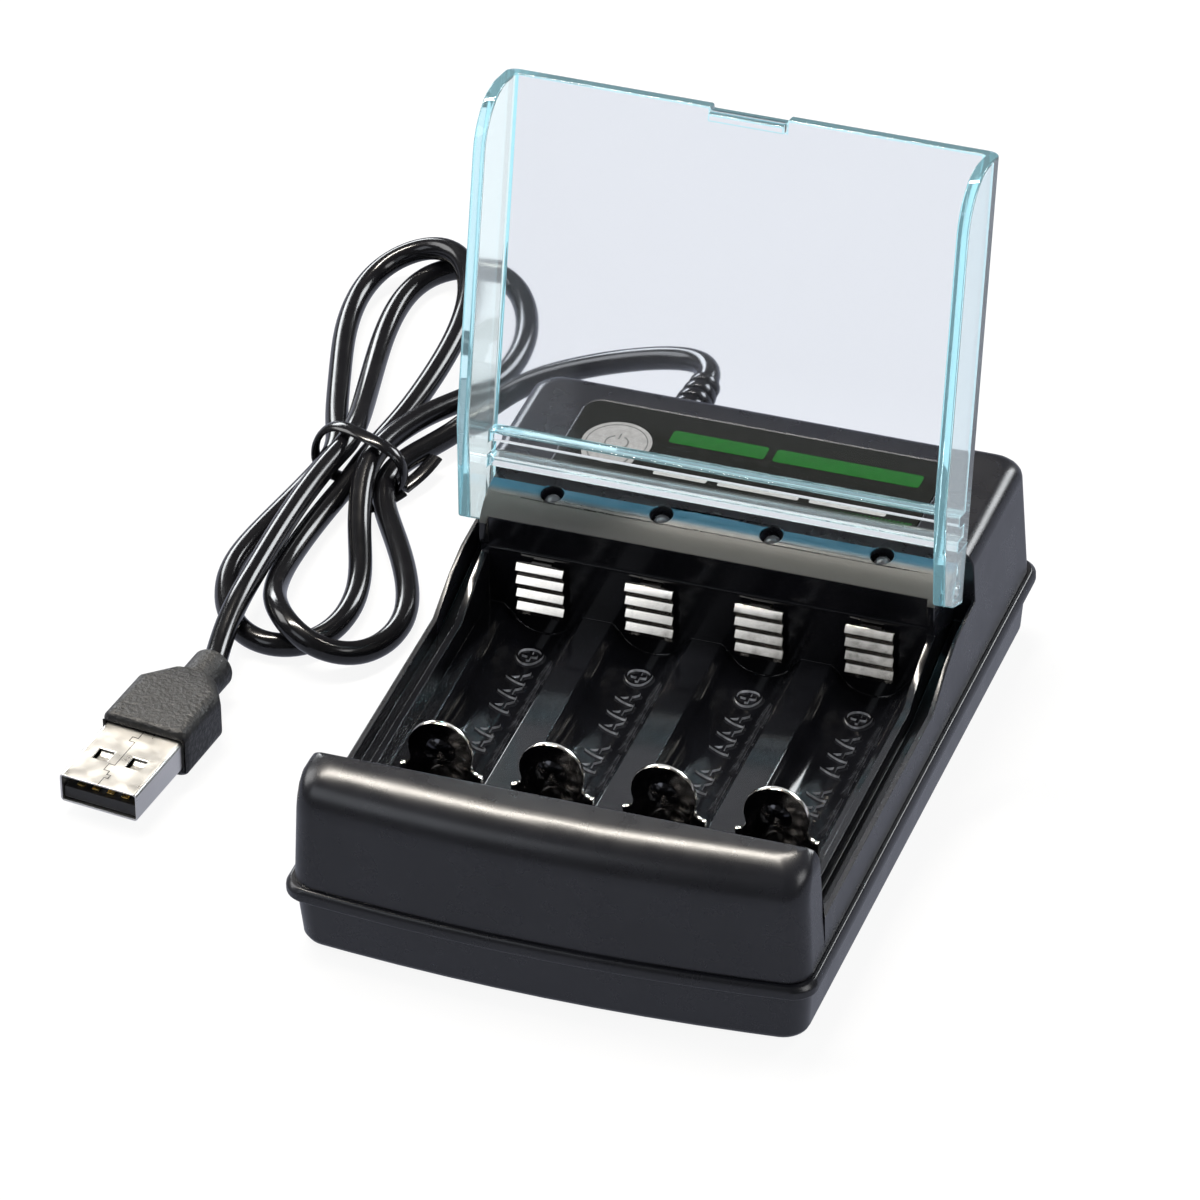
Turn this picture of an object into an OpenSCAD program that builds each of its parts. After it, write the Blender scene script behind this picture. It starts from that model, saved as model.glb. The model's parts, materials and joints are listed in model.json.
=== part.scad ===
// Four-bay cell charger with a clear hinged lid, a captive lead and a flat plug.
// Frame: origin under the middle of the case, X to the right, Y to the rear, Z up, millimetres.

/* [Cells] */
// Distance between neighbouring bays
bay_pitch = 16; // [15.4:0.1:18]
// Diameter of the large cell
cell_d = 14.5; // [14:0.1:15]
// Length of the large cell
cell_len = 50.5; // [49:0.1:52]
// Diameter of the small cell
small_cell_d = 10.5; // [9.5:0.1:11]
// Clearance round a cell in its trough
cell_clear = 0.15; // [0.05:0.05:0.3]

/* [Case] */
// Length of the case along its straight sides
case_len = 102; // [98:0.5:112]
// Room between the outermost bays' centres and the case sides
side_room = 12.6; // [12.2:0.1:15]
// Bow of the front edge
front_bow = 2.2; // [0.5:0.1:4]
// Corner radius in plan
corner_r = 3.5; // [3:0.5:8]
// Shell thickness
wall = 1.8; // [1.2:0.1:2.4]
// Height of the lower case, up to the parting line
base_h = 10.2; // [9.5:0.1:12]
// Height of the rear block
rear_h = 29; // [28:0.5:32]
// Height of the front block
front_h = 27.5; // [24:0.5:28]
// Height of the side rims
rim_h = 15.5; // [15:0.5:18]
// Depth of the front block
block_depth = 8; // [7:0.5:10]
// Height of the flat ribs between the bays
rib_h = 12; // [11:0.1:13]
// Draft of the upper case's sides in degrees
side_draft = 2.3; // [0:0.1:4]
// Radius of the front block's long top edge
front_edge_r = 6; // [3:0.5:8]
// Radius of the other top edges
edge_r = 2.5; // [1:0.5:4]
// Reach of the flange beyond the case side
flange_out = 1; // [0.5:0.05:2]
// Height of the flange
flange_h = 2.4; // [1.5:0.1:3.5]

/* [Lid] */
// Thickness of the lid's panel
lid_t = 2; // [1.5:0.1:2.5]
// Thickness of the lid's side walls
lid_wall = 1.8; // [1.4:0.1:2]
// Angle from closed to the rest position
lid_open = 103.5; // [95:0.5:104]
// Distance from the hinge line to the rear face
hinge_back = 30.5; // [29.5:0.5:33]
// Depth of the hinge line below the rear block's top
hinge_drop = 3.5; // [3:0.1:4]
// Diameter of the lid's hinge pins
pin_d = 2.6; // [2:0.1:3]
// Radial clearance of the hinge pins
pin_clear = 0.08; // [0.03:0.01:0.1]
// Radius of the side walls' lower front corners
lid_corner_r = 8; // [4:0.5:10]

/* [Contacts] */
// Gap between a slider plate and its rear contact with no cell in the bay
rest_gap = 39.4; // [38:0.1:42]
// Width of a rear contact
contact_w = 7; // [5:0.1:8]
// Height of a rear contact
contact_h = 8.8; // [7:0.1:9.2]
// Thickness of the slider plates
plate_t = 0.8; // [0.5:0.1:1]
// Radius of a slider plate's round head
plate_head_r = 4.65; // [4:0.05:5]
// Outer diameter of the slider springs
spring_d = 5.2; // [4:0.1:5.4]
// Wire diameter of the slider springs
spring_wire = 0.5; // [0.3:0.05:0.7]
// Turns of a slider spring
spring_turns = 9; // [6:1:11]
// Diameter of the indicator lamps
led_d = 3; // [2:0.1:3.2]

/* [Label] */
// Width of the label
label_w = 53; // [46:0.5:54]
// Length of the label, front to rear
label_len = 18.6; // [14:0.2:20]
// Thickness of the label
label_t = 0.25; // [0.15:0.05:0.4]

/* [Lead] */
// Diameter of the cord
cord_d = 3.4; // [3:0.1:4]
// Width of the plug's metal shell
shell_w = 12; // [11.8:0.1:12.2]
// Height of the plug's metal shell
shell_h = 4.5; // [4.3:0.1:4.7]
// Length of the shell outside its grip
shell_len = 13.2; // [11.8:0.1:15]
// Sheet thickness of the shell
shell_t = 0.3; // [0.2:0.05:0.5]
// Width of the plug's grip
grip_w = 13.2; // [12.8:0.1:16]
// Height of the plug's grip
grip_h = 7.8; // [7:0.1:9]
// Length of the plug's grip
grip_len = 14.8; // [12:0.2:20]

/* [Hidden] */
$fn = 48;
eps = 0.01;
bay_count = 4;
far = 80;

// Case stations along Y and the widths that follow the bays
case_w = (bay_count - 1) * bay_pitch + 2 * side_room;
half_w = case_w / 2;
rear_y = case_len / 2 + front_bow / 2;
front_y = rear_y - case_len;
block_back_y = front_y + block_depth;
hinge_y = rear_y - hinge_back;
hinge_z = rear_h - hinge_drop;
bar_reach = 4.8;
bar_face_y = hinge_y - bar_reach;
wall_step = 0.6;
wall_face_y = bar_face_y + wall_step;
step_z = 22;
function bay_x(i) = (i - (bay_count - 1) / 2) * bay_pitch;

// Floor, troughs and the skirt that nests in the lower case
fit_gap = 0.3;
trough_r = cell_d / 2 + cell_clear;
small_r = small_cell_d / 2 + cell_clear;
floor_t = 1.2;
skirt_z = 6.8;
trough_step = 3.2;
small_axis_z = skirt_z + floor_t + small_r;
cell_axis_z = small_axis_z + trough_step;
bay_margin = 0.6;
bay_half_w = bay_x(bay_count - 1) + trough_r + bay_margin;

// Lid groove between the outer rim and the inner rail
rail_t = 1.1;
lid_gap = 0.4;
groove_in = bay_half_w + rail_t;
lid_half_w = groove_in + lid_gap + lid_wall;
groove_out = lid_half_w + fit_gap;
groove_w = groove_out - groove_in;
groove_depth = 2.5;
groove_floor_z = rim_h - groove_depth;
groove_start_y = block_back_y + 3.4;
lid_dip = 0.5;
lid_front_y = block_back_y + lid_gap;
lid_top_z = rear_h - 0.4;

// Rim slope that rises to the hinge, and the notch for the lid's arms
slope_y = hinge_y - 15.6;
arm_back = 2.6;
arm_end_y = hinge_y + arm_back;
notch_y = hinge_y + 4.3;
foot_rise = 4.2;
function foot_lift(y) = max(0, (y - slope_y) / (notch_y - slope_y) * foot_rise);
rim_slope = [[slope_y, rim_h], [hinge_y - 8.8, rim_h + 3.3], [wall_face_y, rim_h + 4.8], [notch_y, rim_h + 5.4]];

// Curved strip over the hinge bar
strip_run = 6.2;
strip_drop = 3.6;
strip_r = (strip_run * strip_run + strip_drop * strip_drop) / (2 * strip_drop);
strip_y = bar_face_y + strip_run;
strip_z = rear_h - strip_r;
led_angle = 9;
led_clear = 0.15;
led_sink = 0.7;

// Rear cavity with the board
cavity_y = wall_face_y + wall;
cavity_top_z = rear_h - wall - 0.4;
cavity_back_y = rear_y - wall - 0.9;
cavity_half_w = half_w - wall - 1;
pin_len = 3.5;
pin_room = 0.3;
pin_wall = pin_len + pin_room + 1.2;
board_t = 1.6;
board_z = 6;
board_y = cavity_y + 0.8;
board_back_y = cavity_back_y - 1;
board_top_z = board_z + board_t;

// Screws through the lower case into the upper one
screw_x = half_w - 5.2;
screw_front_y = front_y + 4.6;
screw_rear_y = rear_y - 5.2;
screw_d = 2.6;
screw_head_d = 5.2;
screw_head_h = 1.8;
screw_len = 8.4;
screw_sink = 3.6;
screw_clear = 0.05;
boss_d = 6.4;
pillar_d = 7.8;
base_floor = 2;
board_half_w = screw_x - pillar_d / 2 - fit_gap;

// Contacts
contact_tooth = 0.7;
contact_stand = 0.6;
contact_sheet = 0.45;
contact_tab_w = 3;
contact_tab_gap = 0.2;
contact_top_z = skirt_z + 13.4;
contact_back_y = wall_face_y - contact_stand;
contact_face_y = contact_back_y - contact_sheet - contact_tooth;
plate_y = contact_face_y - rest_gap;
slider_travel = cell_len - rest_gap + 0.6;
plate_axis_z = cell_axis_z + 0.6;
plate_half_w = 5.9;
shoulder_z = 14;
foot_half_w = 1.25;
slot_gap = 0.3;
tab_half_w = 3.2;
tab_len = 4;
tab_gap = 0.4;
spring_z = 11;
spring_pocket = 5;
spring_gap = 0.05;

// Label seat
label_y = rear_y - 24.9;
label_r = 2.4;
label_clear = 0.15;

// Lead: relief, route and hank
relief_x = -16;
relief_z = 21;
relief_len = 13;
relief_neck_d = 5.6;
relief_collar_d = 8.4;
relief_y = rear_y - (relief_z - relief_collar_d / 2 - base_h) * tan(side_draft);
lead_end = [relief_x, relief_y + relief_len, relief_z];
lead_route = [
    lead_end, [-16.2, 67.5, 20.9], [-17.6, 70.2, 20.5], [-20.5, 72.4, 19.6], [-25, 73.6, 18.2], [-30.5, 74.6, 16],
    [-36, 75.6, 13.4], [-42, 76.6, 10.2], [-47, 77.3, 7.2], [-51.4, 77.4, 4.8], [-54.4, 77.2, 3.8]
];
hank_h = 6.8;
hank_neck = [-65.5, 56];
neck_r = 8;
hank_top = [[-73.4, 101.6, 10.2], [-62, 99, 11.6]];
hank_bottom = [[-65.8, 21.4, 10.6], [-56.4, 20, 11.6]];
tie_w = 2.4;
tie_t = 0.9;
plug_at = [-69.75, -19.2, grip_h / 2];
plug_turn = -7;
collar_d = 6.2;
collar_len = 5.6;
tail_start = [
    plug_at[0] - (grip_len + collar_len) * sin(plug_turn),
    plug_at[1] + (grip_len + collar_len) * cos(plug_turn),
    plug_at[2]
];
tail_route = [tail_start, [-67.8, 5, 3.9], [-68.5, 8.6, 4], [-68.9, 11.6, 4.1]];

// Plug: how far its parts sit in one another
shell_root = 3.9;
shell_root_gap = 0.02;
tongue_gap = 0.1;
tongue_h = 1.9;
tongue_w = shell_w - 2 * shell_t - 2 * tongue_gap;
tongue_root_h = shell_h - 2 * shell_t - 2 * tongue_gap;

// Points of an arc about c from angle a to angle b
function arc(c, r, a, b, n = 8) = [for (k = [0:n]) c + r * [cos(a + (b - a) * k / n), sin(a + (b - a) * k / n)]];

// Inset of a rounded edge of radius r at height z below its top
function inset(z, top, r) = z <= top - r ? 0 : r - sqrt(max(0, r * r - pow(z - top + r, 2)));

// Unit vector, and the direction of a path at one of its points
function unit(v) = v / norm(v);
function heading(path, i) = unit(path[min(i + 1, len(path) - 1)] - path[max(i - 1, 0)]);

// Ring of points round a path
function ring(path, i, r, sides, up) =
    let (t = heading(path, i), u = unit(cross(t, up)), v = cross(u, t))
    [for (k = [0:sides - 1]) path[i] + r * (cos(360 * k / sides) * u + sin(360 * k / sides) * v)];

// Round bar swept along a path
module sweep(path, r, sides, up) {
    n = len(path);
    points = [for (i = [0:n - 1]) each ring(path, i, r, sides, up)];
    ends = [[for (k = [sides - 1:-1:0]) k], [for (k = [0:sides - 1]) (n - 1) * sides + k]];
    walls = [
        for (i = [0:n - 2]) for (k = [0:sides - 1])
            let (a = i * sides + k, b = i * sides + (k + 1) % sides)
            each [[a, b, b + sides], [a, b + sides, a + sides]]
    ];
    polyhedron(points, concat(ends, walls));
}

// Side profile in Y and Z, extruded over a band of X
module across(x0, x1) {
    translate([x0, 0, 0])
        rotate([90, 0, 90]) linear_extrude(x1 - x0) children();
}

// Front edge of the plan, bowed outwards in the middle
function bow_y(x) = front_y - front_bow * (1 - pow(x / half_w, 2));

// Plan of the case with its bowed front, each side drawn in by its own inset
module plan(side = 0, front = 0, rear = 0, r = corner_r) {
    steps = 8;
    reach = half_w - corner_r - 5;
    lean = atan(2 * front_bow * (half_w - corner_r) / (half_w * half_w));
    x = half_w - side - r;
    back = rear_y - rear - r;
    front_c = front + bow_y(x + r * sin(lean)) + r * cos(lean);
    polygon(concat(
        [for (k = [0:steps]) let (u = reach * (2 * k / steps - 1)) [u, front + bow_y(u)]],
        arc([x, front_c], r, lean - 90, 0),
        arc([x, back], r, 0, 90),
        arc([-x, back], r, 90, 180),
        arc([-x, front_c], r, 180, 270 - lean)
    ));
}

// Thin slice of the plan, for lofting
module slice(z, side, front, rear) {
    translate([0, 0, z]) linear_extrude(eps) plan(side, front, rear);
}

// Drafted mass of the upper case with rounded top edges
module mass(top, front_r, side_r) {
    heights = concat([base_h], [for (a = [0:15:90]) top - eps - front_r * (1 - sin(a))]);
    hull() for (z = heights) {
        draft = (z - base_h) * tan(side_draft);
        slice(z, draft + inset(z, top, side_r), draft + inset(z, top, front_r), draft + inset(z, top, side_r));
    }
}

// Silhouette of the front block
module front_profile() {
    lip_r = 1;
    polygon(concat(
        [[-far, base_h], [block_back_y, base_h]],
        arc([block_back_y - lip_r, front_h - lip_r], lip_r, 0, 90),
        [[-far, front_h]]
    ));
}

// Silhouette of the bays' floor, the sloping rims and the rear block
module rear_profile() {
    lip_r = 0.8;
    polygon(concat(
        [[block_back_y - 1, base_h], [block_back_y - 1, rim_h]],
        rim_slope,
        arc([notch_y + lip_r, rear_h - lip_r], lip_r, 180, 90),
        [[far, rear_h], [far, base_h]]
    ));
}

// Silhouette of the hinge bar with its curved strip
module bar_profile() {
    start = atan2(strip_r - strip_drop, bar_face_y - strip_y);
    polygon(concat(
        [[notch_y + 1, base_h], [wall_face_y, base_h], [wall_face_y, step_z], [bar_face_y, step_z]],
        arc([strip_y, strip_z], strip_r, start, 90),
        [[notch_y + 1, rear_h]]
    ));
}

// Space over the bays, up to the open top
module compartment() {
    translate([-bay_half_w, block_back_y, rib_h])
        cube([2 * bay_half_w, wall_face_y - block_back_y, far]);
}

// Trough of one bay: large cell, small cell, slider slot and spring pocket
module bay_cut(x) {
    span = wall_face_y - block_back_y;
    translate([x, wall_face_y, cell_axis_z]) rotate([90, 0, 0]) cylinder(r = trough_r, h = span);
    translate([x, wall_face_y, small_axis_z]) rotate([90, 0, 0]) cylinder(r = small_r, h = span);
    slot_half_w = foot_half_w + slot_gap;
    slot_y = plate_y - plate_t - slider_travel - slot_gap;
    translate([x - slot_half_w, slot_y, skirt_z - 1])
        cube([2 * slot_half_w, slider_travel + plate_t + 2 * slot_gap, small_axis_z - skirt_z]);
    translate([x, block_back_y + eps, spring_z])
        rotate([90, 0, 0]) cylinder(d = spring_d + 2 * fit_gap, h = spring_pocket);
}

// Groove for one lid wall, round at its front end and rising with the rim
module groove_cut() {
    mid = (groove_in + groove_out) / 2;
    intersection() {
        across(groove_in - 1, groove_out + 1) polygon([
            [groove_start_y - 1, groove_floor_z], [slope_y, groove_floor_z],
            [notch_y, groove_floor_z + foot_lift(notch_y)], [notch_y, far], [groove_start_y - 1, far]
        ]);
        linear_extrude(far) union() {
            translate([mid, groove_start_y + groove_w / 2]) circle(d = groove_w);
            translate([groove_in, groove_start_y + groove_w / 2])
                square([groove_w, notch_y - groove_start_y - groove_w / 2]);
        }
    }
}

// Hollow of the rear block, open underneath, with thick ends for the hinge pins
module cavity_cut() {
    inner_r = strip_r - wall - 0.2;
    start = acos((cavity_y - strip_y) / inner_r);
    narrow = groove_in - pin_wall;
    module room() polygon(concat(
        [[cavity_back_y, skirt_z - 1], [cavity_y, skirt_z - 1]],
        arc([strip_y, strip_z], inner_r, start, 90),
        [[cavity_back_y, min(cavity_top_z, strip_z + inner_r)]]
    ));
    difference() {
        union() {
            across(-narrow, narrow) room();
            across(-cavity_half_w, cavity_half_w) intersection() {
                room();
                translate([notch_y + wall, 0]) square([far, far]);
            }
        }
        for (s = [-1, 1])
            translate([s * screw_x, screw_rear_y, 0]) cylinder(d = boss_d, h = far);
    }
}

module lower_case() {
    color([0.07, 0.07, 0.08]) difference() {
        union() {
            hull() {
                slice(0, 1.5, 1.5, 1.5);
                slice(0.35, 1.05, 1.05, 1.05);
                slice(1.1, 0.7, 0.7, 0.7);
                slice(base_h - 0.5, 0, 0, 0);
            }
            hull() {
                slice(base_h - flange_h, -0.3, -0.3, -0.3);
                slice(base_h - 0.75 * flange_h, -flange_out, -flange_out, -flange_out);
                slice(base_h - 0.3 * flange_h, -flange_out, -flange_out, -flange_out);
                slice(base_h - eps, -0.5 * flange_out, -0.5 * flange_out, -0.5 * flange_out);
            }
        }
        difference() {
            translate([0, 0, base_floor]) linear_extrude(far) plan(wall, wall, wall, corner_r - wall);
            for (s = [-1, 1]) {
                for (y = [screw_front_y, screw_rear_y])
                    translate([s * screw_x, y, 0]) cylinder(d = pillar_d, h = skirt_z);
                for (y = [board_y + 4, board_back_y - 4])
                    translate([s * (board_half_w - 4), y, 0]) cylinder(d = 5, h = board_z);
            }
        }
        for (s = [-1, 1]) for (y = [screw_front_y, screw_rear_y]) translate([s * screw_x, y, 0]) {
            translate([0, 0, -1]) cylinder(d = screw_head_d + 0.4, h = screw_sink + 1);
            cylinder(d = screw_d + 0.2, h = far);
        }
    }
}

module upper_case() {
    color([0.06, 0.06, 0.07]) difference() {
        union() {
            intersection() {
                mass(front_h, front_edge_r, edge_r);
                across(-far, far) front_profile();
            }
            intersection() {
                mass(rear_h, edge_r, edge_r);
                union() {
                    across(-far, far) rear_profile();
                    across(-groove_in, groove_in) bar_profile();
                }
            }
            translate([0, 0, skirt_z]) linear_extrude(base_h - skirt_z + eps)
                plan(wall + fit_gap, wall + fit_gap, wall + fit_gap, corner_r - wall - fit_gap);
        }
        compartment();
        for (i = [0:bay_count - 1]) {
            bay_cut(bay_x(i));
            contact_cut(bay_x(i));
            led_seat(i) cylinder(d = led_d + 2 * led_clear, h = 2 * strip_r, center = true);
        }
        for (s = [0, 1]) mirror([s, 0, 0]) {
            groove_cut();
            translate([groove_in + eps, hinge_y, hinge_z]) rotate([0, -90, 0])
                cylinder(d = pin_d + 2 * pin_clear, h = pin_len + pin_room);
            for (y = [screw_front_y, screw_rear_y]) translate([screw_x, y, skirt_z - eps])
                cylinder(d = screw_d + 2 * screw_clear, h = screw_len);
        }
        cavity_cut();
        translate([0, 0, rear_h - label_t]) linear_extrude(1) label_plan(label_clear);
        translate([relief_x, rear_y + 1, relief_z]) rotate([90, 0, 0])
            cylinder(d = relief_neck_d + 2 * pin_clear, h = rear_y - cavity_back_y + 2);
    }
}

// Slot in the rear wall for a contact's tab
module contact_cut(x) {
    w = contact_tab_w + 2 * contact_tab_gap;
    translate([x - w / 2, wall_face_y - 1, contact_top_z - contact_sheet - contact_tab_gap])
        cube([w, wall + 2, contact_sheet + 2 * contact_tab_gap]);
}

// Frame of one lamp: on the strip's surface, leaning forward, pointing out
module led_seat(i) {
    translate([bay_x(i), strip_y, strip_z]) rotate([led_angle, 0, 0]) translate([0, 0, strip_r]) children();
}

// Rear contact: strip folded into four bands that face up and forward, with a tab through the wall down to the board
module rear_contact(i) {
    teeth = 4;
    pitch = contact_h / teeth;
    face = [
        for (k = [0:teeth - 1])
            let (z = contact_top_z - k * pitch)
            each [[0, z], [-contact_tooth, z - 0.4 * pitch], [-contact_tooth, z - 0.46 * pitch], [0, z - 0.97 * pitch]]
    ];
    back = [for (k = [len(face) - 1:-1:0]) face[k] + [contact_sheet, 0]];
    tab_z = contact_top_z - contact_sheet;
    leg_y = board_y + 0.4;
    color([0.85, 0.85, 0.83]) translate([bay_x(i), 0, 0]) {
        across(-contact_w / 2, contact_w / 2)
            translate([contact_back_y - contact_sheet, 0]) polygon(concat(face, back));
        across(-contact_tab_w / 2, contact_tab_w / 2) {
            translate([contact_back_y - contact_sheet, tab_z])
                square([leg_y - contact_back_y + 2 * contact_sheet, contact_sheet]);
            translate([leg_y, board_top_z]) square([contact_sheet, tab_z - board_top_z + contact_sheet]);
        }
    }
}

// Outline of a slider plate in X and Z: round head, eared shoulders and a foot
module plate_outline() {
    neck_fillet = 1.4;
    offset(r = -neck_fillet) offset(delta = neck_fillet) {
        translate([0, plate_axis_z]) circle(plate_head_r);
        polygon([
            [-plate_half_w, shoulder_z], [-plate_half_w, rib_h + slot_gap], [-3.4, rib_h - 1.6],
            [3.4, rib_h - 1.6], [plate_half_w, rib_h + slot_gap], [plate_half_w, shoulder_z]
        ]);
    }
    translate([-foot_half_w, skirt_z - tab_gap])
        square([2 * foot_half_w, rib_h - skirt_z]);
}

// Slider plate: dished tombstone with a foot through the floor and a tab under it
module slider_contact(i) {
    dish_r = 3;
    dish_depth = 0.9;
    color([0.5, 0.5, 0.5]) translate([bay_x(i), plate_y, 0]) difference() {
        union() {
            rotate([90, 0, 0]) linear_extrude(plate_t) plate_outline();
            translate([-tab_half_w, -tab_len, skirt_z - tab_gap - plate_t])
                cube([2 * tab_half_w, tab_len, plate_t]);
            intersection() {
                translate([0, dish_r - dish_depth - plate_t, plate_axis_z]) sphere(dish_r);
                translate([-far, -plate_t - dish_depth, 0]) cube([2 * far, plate_t + dish_depth, far]);
            }
        }
        translate([0, dish_r - dish_depth, plate_axis_z]) sphere(dish_r);
    }
}

// Coil spring between a slider plate and its pocket in the front block
module slider_spring(i) {
    sides = 6;
    steps = 12;
    front = block_back_y - spring_pocket + spring_wire / 2 + spring_gap;
    back = plate_y - plate_t - spring_wire / 2 - spring_gap;
    r = (spring_d - spring_wire) / 2;
    n = spring_turns * steps;
    path = [
        for (k = [0:n])
            let (a = 360 * k / steps)
            [bay_x(i) + r * cos(a), front + (back - front) * k / n, spring_z + r * sin(a)]
    ];
    color([0.75, 0.75, 0.74]) sweep(path, spring_wire / 2, sides, [0, 1, 0]);
}

// Indicator lamp: domed body behind the strip, with two legs to the board
module led(i) {
    leg = 0.5;
    body_len = 4;
    color([0.8, 0.8, 0.78]) union() {
        led_seat(i) {
            translate([0, 0, -led_sink - led_d / 2]) sphere(d = led_d);
            translate([0, 0, -led_sink - led_d / 2 - body_len]) cylinder(d = led_d, h = body_len);
        }
        for (s = [-1, 1])
            translate([bay_x(i) + s * 0.8 - leg / 2, strip_y + 0.2, board_top_z])
                cube([leg, leg, strip_z + strip_r - board_top_z - body_len]);
    }
}

// Outline of the label on the rear block
module label_plan(grow) {
    offset(r = label_r + grow) offset(delta = -label_r)
        translate([-label_w / 2, label_y]) square([label_w, label_len]);
}

module label() {
    color([0.05, 0.06, 0.05]) translate([0, 0, rear_h - label_t])
        linear_extrude(label_t) label_plan(0);
}

// Side silhouette of the closed lid
module lid_profile() {
    foot_z = rim_h - lid_dip;
    end_r = 1.2;
    polygon(concat(
        [[lid_front_y, lid_top_z]],
        arc([lid_front_y + lid_corner_r, foot_z + lid_corner_r], lid_corner_r, 180, 270),
        [[slope_y, foot_z], [arm_end_y - 3, foot_z + foot_lift(arm_end_y - 3)]],
        [[arm_end_y - 0.9, hinge_z - 2.4]],
        arc([arm_end_y - end_r, lid_top_z - end_r], end_r, 0, 90)
    ));
}

// Front section of the closed lid: panel and two walls with rounded shoulders
module lid_section(shrink_x, shrink_z, shoulder) {
    w = lid_half_w - shrink_x;
    polygon(concat(
        [[-w, 0], [w, 0]],
        arc([w - shoulder, lid_top_z - shrink_z - shoulder], shoulder, 0, 90),
        arc([-w + shoulder, lid_top_z - shrink_z - shoulder], shoulder, 90, 180)
    ));
}

// Clear lid, drawn closed and then turned to its rest angle about the hinge line
module lid() {
    shoulder = 1.7;
    inner_shoulder = 0.4;
    panel_end_y = bar_face_y - 1.2;
    web_t = 1.5;
    web_depth = 4.3;
    rib_y = panel_end_y - 5.2;
    thumb_w = 11;
    thumb_d = 0.6;
    ledge = 1.2;
    color([0.75, 0.9, 0.95, 0.5])
    translate([0, hinge_y, hinge_z]) rotate([-lid_open, 0, 0]) translate([0, -hinge_y, -hinge_z]) union() {
        difference() {
            intersection() {
                across(-lid_half_w, lid_half_w) lid_profile();
                translate([0, arm_end_y, 0]) rotate([90, 0, 0]) linear_extrude(arm_end_y - lid_front_y) difference() {
                    lid_section(0, 0, shoulder);
                    lid_section(lid_wall, lid_t, inner_shoulder);
                }
            }
            translate([-groove_in - lid_gap, panel_end_y, 0])
                cube([2 * (groove_in + lid_gap), far, far]);
            translate([-thumb_w / 2, lid_front_y - 1, 0]) cube([thumb_w, 1 + thumb_d, far]);
        }
        for (y = [rib_y, panel_end_y - web_t])
            translate([-groove_in - lid_gap - eps, y, lid_top_z - web_depth])
                cube([2 * (groove_in + lid_gap + eps), web_t, web_depth - lid_t + eps]);
        translate([-thumb_w / 2, lid_front_y + thumb_d - eps, lid_top_z - lid_t - ledge])
            cube([thumb_w, ledge, ledge + eps]);
        for (s = [-1, 1]) translate([s * (groove_in + lid_gap + eps), hinge_y, hinge_z])
            rotate([0, -s * 90, 0]) cylinder(d = pin_d, h = pin_len + lid_gap);
    }
}

module main_board() {
    color([0.1, 0.3, 0.16]) translate([-board_half_w, board_y, board_z])
        cube([2 * board_half_w, board_back_y - board_y, board_t]);
}

module control_chip() {
    size = [5, 6.2, 1.5];
    color([0.1, 0.1, 0.1]) translate([-size[0] / 2, board_y + 14, board_top_z]) cube(size);
}

module capacitor() {
    d = 6.3;
    h = 9;
    color([0.2, 0.22, 0.3]) translate([12, board_y + 18, board_top_z]) union() {
        cylinder(d = d, h = h);
        translate([0, 0, h - eps]) cylinder(d = d - 1.2, h = 0.3);
    }
}

// Four pan-head screws, driven from below
module case_screws() {
    color([0.6, 0.6, 0.6]) for (s = [-1, 1]) for (y = [screw_front_y, screw_rear_y])
        translate([s * screw_x, y, screw_sink]) difference() {
            union() {
                translate([0, 0, -screw_head_h]) cylinder(d = screw_head_d, h = screw_head_h);
                cylinder(d = screw_d, h = screw_len);
            }
            for (a = [0, 90]) rotate(a) translate([-1.4, -0.35, -screw_head_h - 1]) cube([2.8, 0.7, 2]);
        }
}

// Strain relief: neck through the rear wall, collar and ribbed taper
module relief_profile() {
    collar = relief_collar_d;
    collar_t = 1.6;
    ribs = 5;
    base_r = 3.1;
    tip_r = 2.3;
    rib = (relief_len - collar_t) / ribs;
    neck = relief_y - cavity_back_y;
    polygon(concat(
        [[0, -neck - 1.2], [collar / 2 - 0.2, -neck - 1.2], [collar / 2 - 0.2, -neck], [relief_neck_d / 2, -neck]],
        [[relief_neck_d / 2, 0], [collar / 2, 0], [collar / 2, collar_t]],
        [
            for (k = [0:ribs - 1])
                let (r = base_r + (tip_r - base_r) * k / (ribs - 1), y = collar_t + k * rib)
                each [[r - 0.5, y], [r - 0.5, y + 0.35 * rib], [r, y + 0.35 * rib], [r, y + rib]]
        ],
        [[0, relief_len]]
    ));
}

module strain_relief() {
    color([0.08, 0.08, 0.09]) translate([relief_x, relief_y, relief_z])
        rotate([-90, 0, 0]) rotate_extrude() relief_profile();
}

module cord_lead() {
    color([0.08, 0.08, 0.09]) sweep(lead_route, cord_d / 2, 8, [0, 0, 1]);
}

module cord_tail() {
    color([0.08, 0.08, 0.09]) sweep(tail_route, cord_d / 2, 8, [0, 0, 1]);
}

// Outline of the folded cord: two lobes drawn in at the tie
module hank_outline() {
    for (lobe = [hank_top, hank_bottom]) hull() {
        translate(hank_neck) circle(neck_r, $fn = 32);
        for (c = lobe) translate([c[0], c[1]]) circle(c[2], $fn = 32);
    }
}

// Groove that the tie draws into the hank, under it and at both sides
module tie_groove() {
    band = tie_w + 2 * fit_gap;
    translate([hank_neck[0], hank_neck[1], 0]) difference() {
        translate([-far, -band / 2, -1]) cube([2 * far, band, far]);
        translate([-neck_r, -band, tie_t + fit_gap]) cube([2 * neck_r, 2 * band, far]);
    }
}

module cord_hank() {
    color([0.08, 0.08, 0.09]) difference() {
        linear_extrude(hank_h) hank_outline();
        tie_groove();
    }
}

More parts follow.
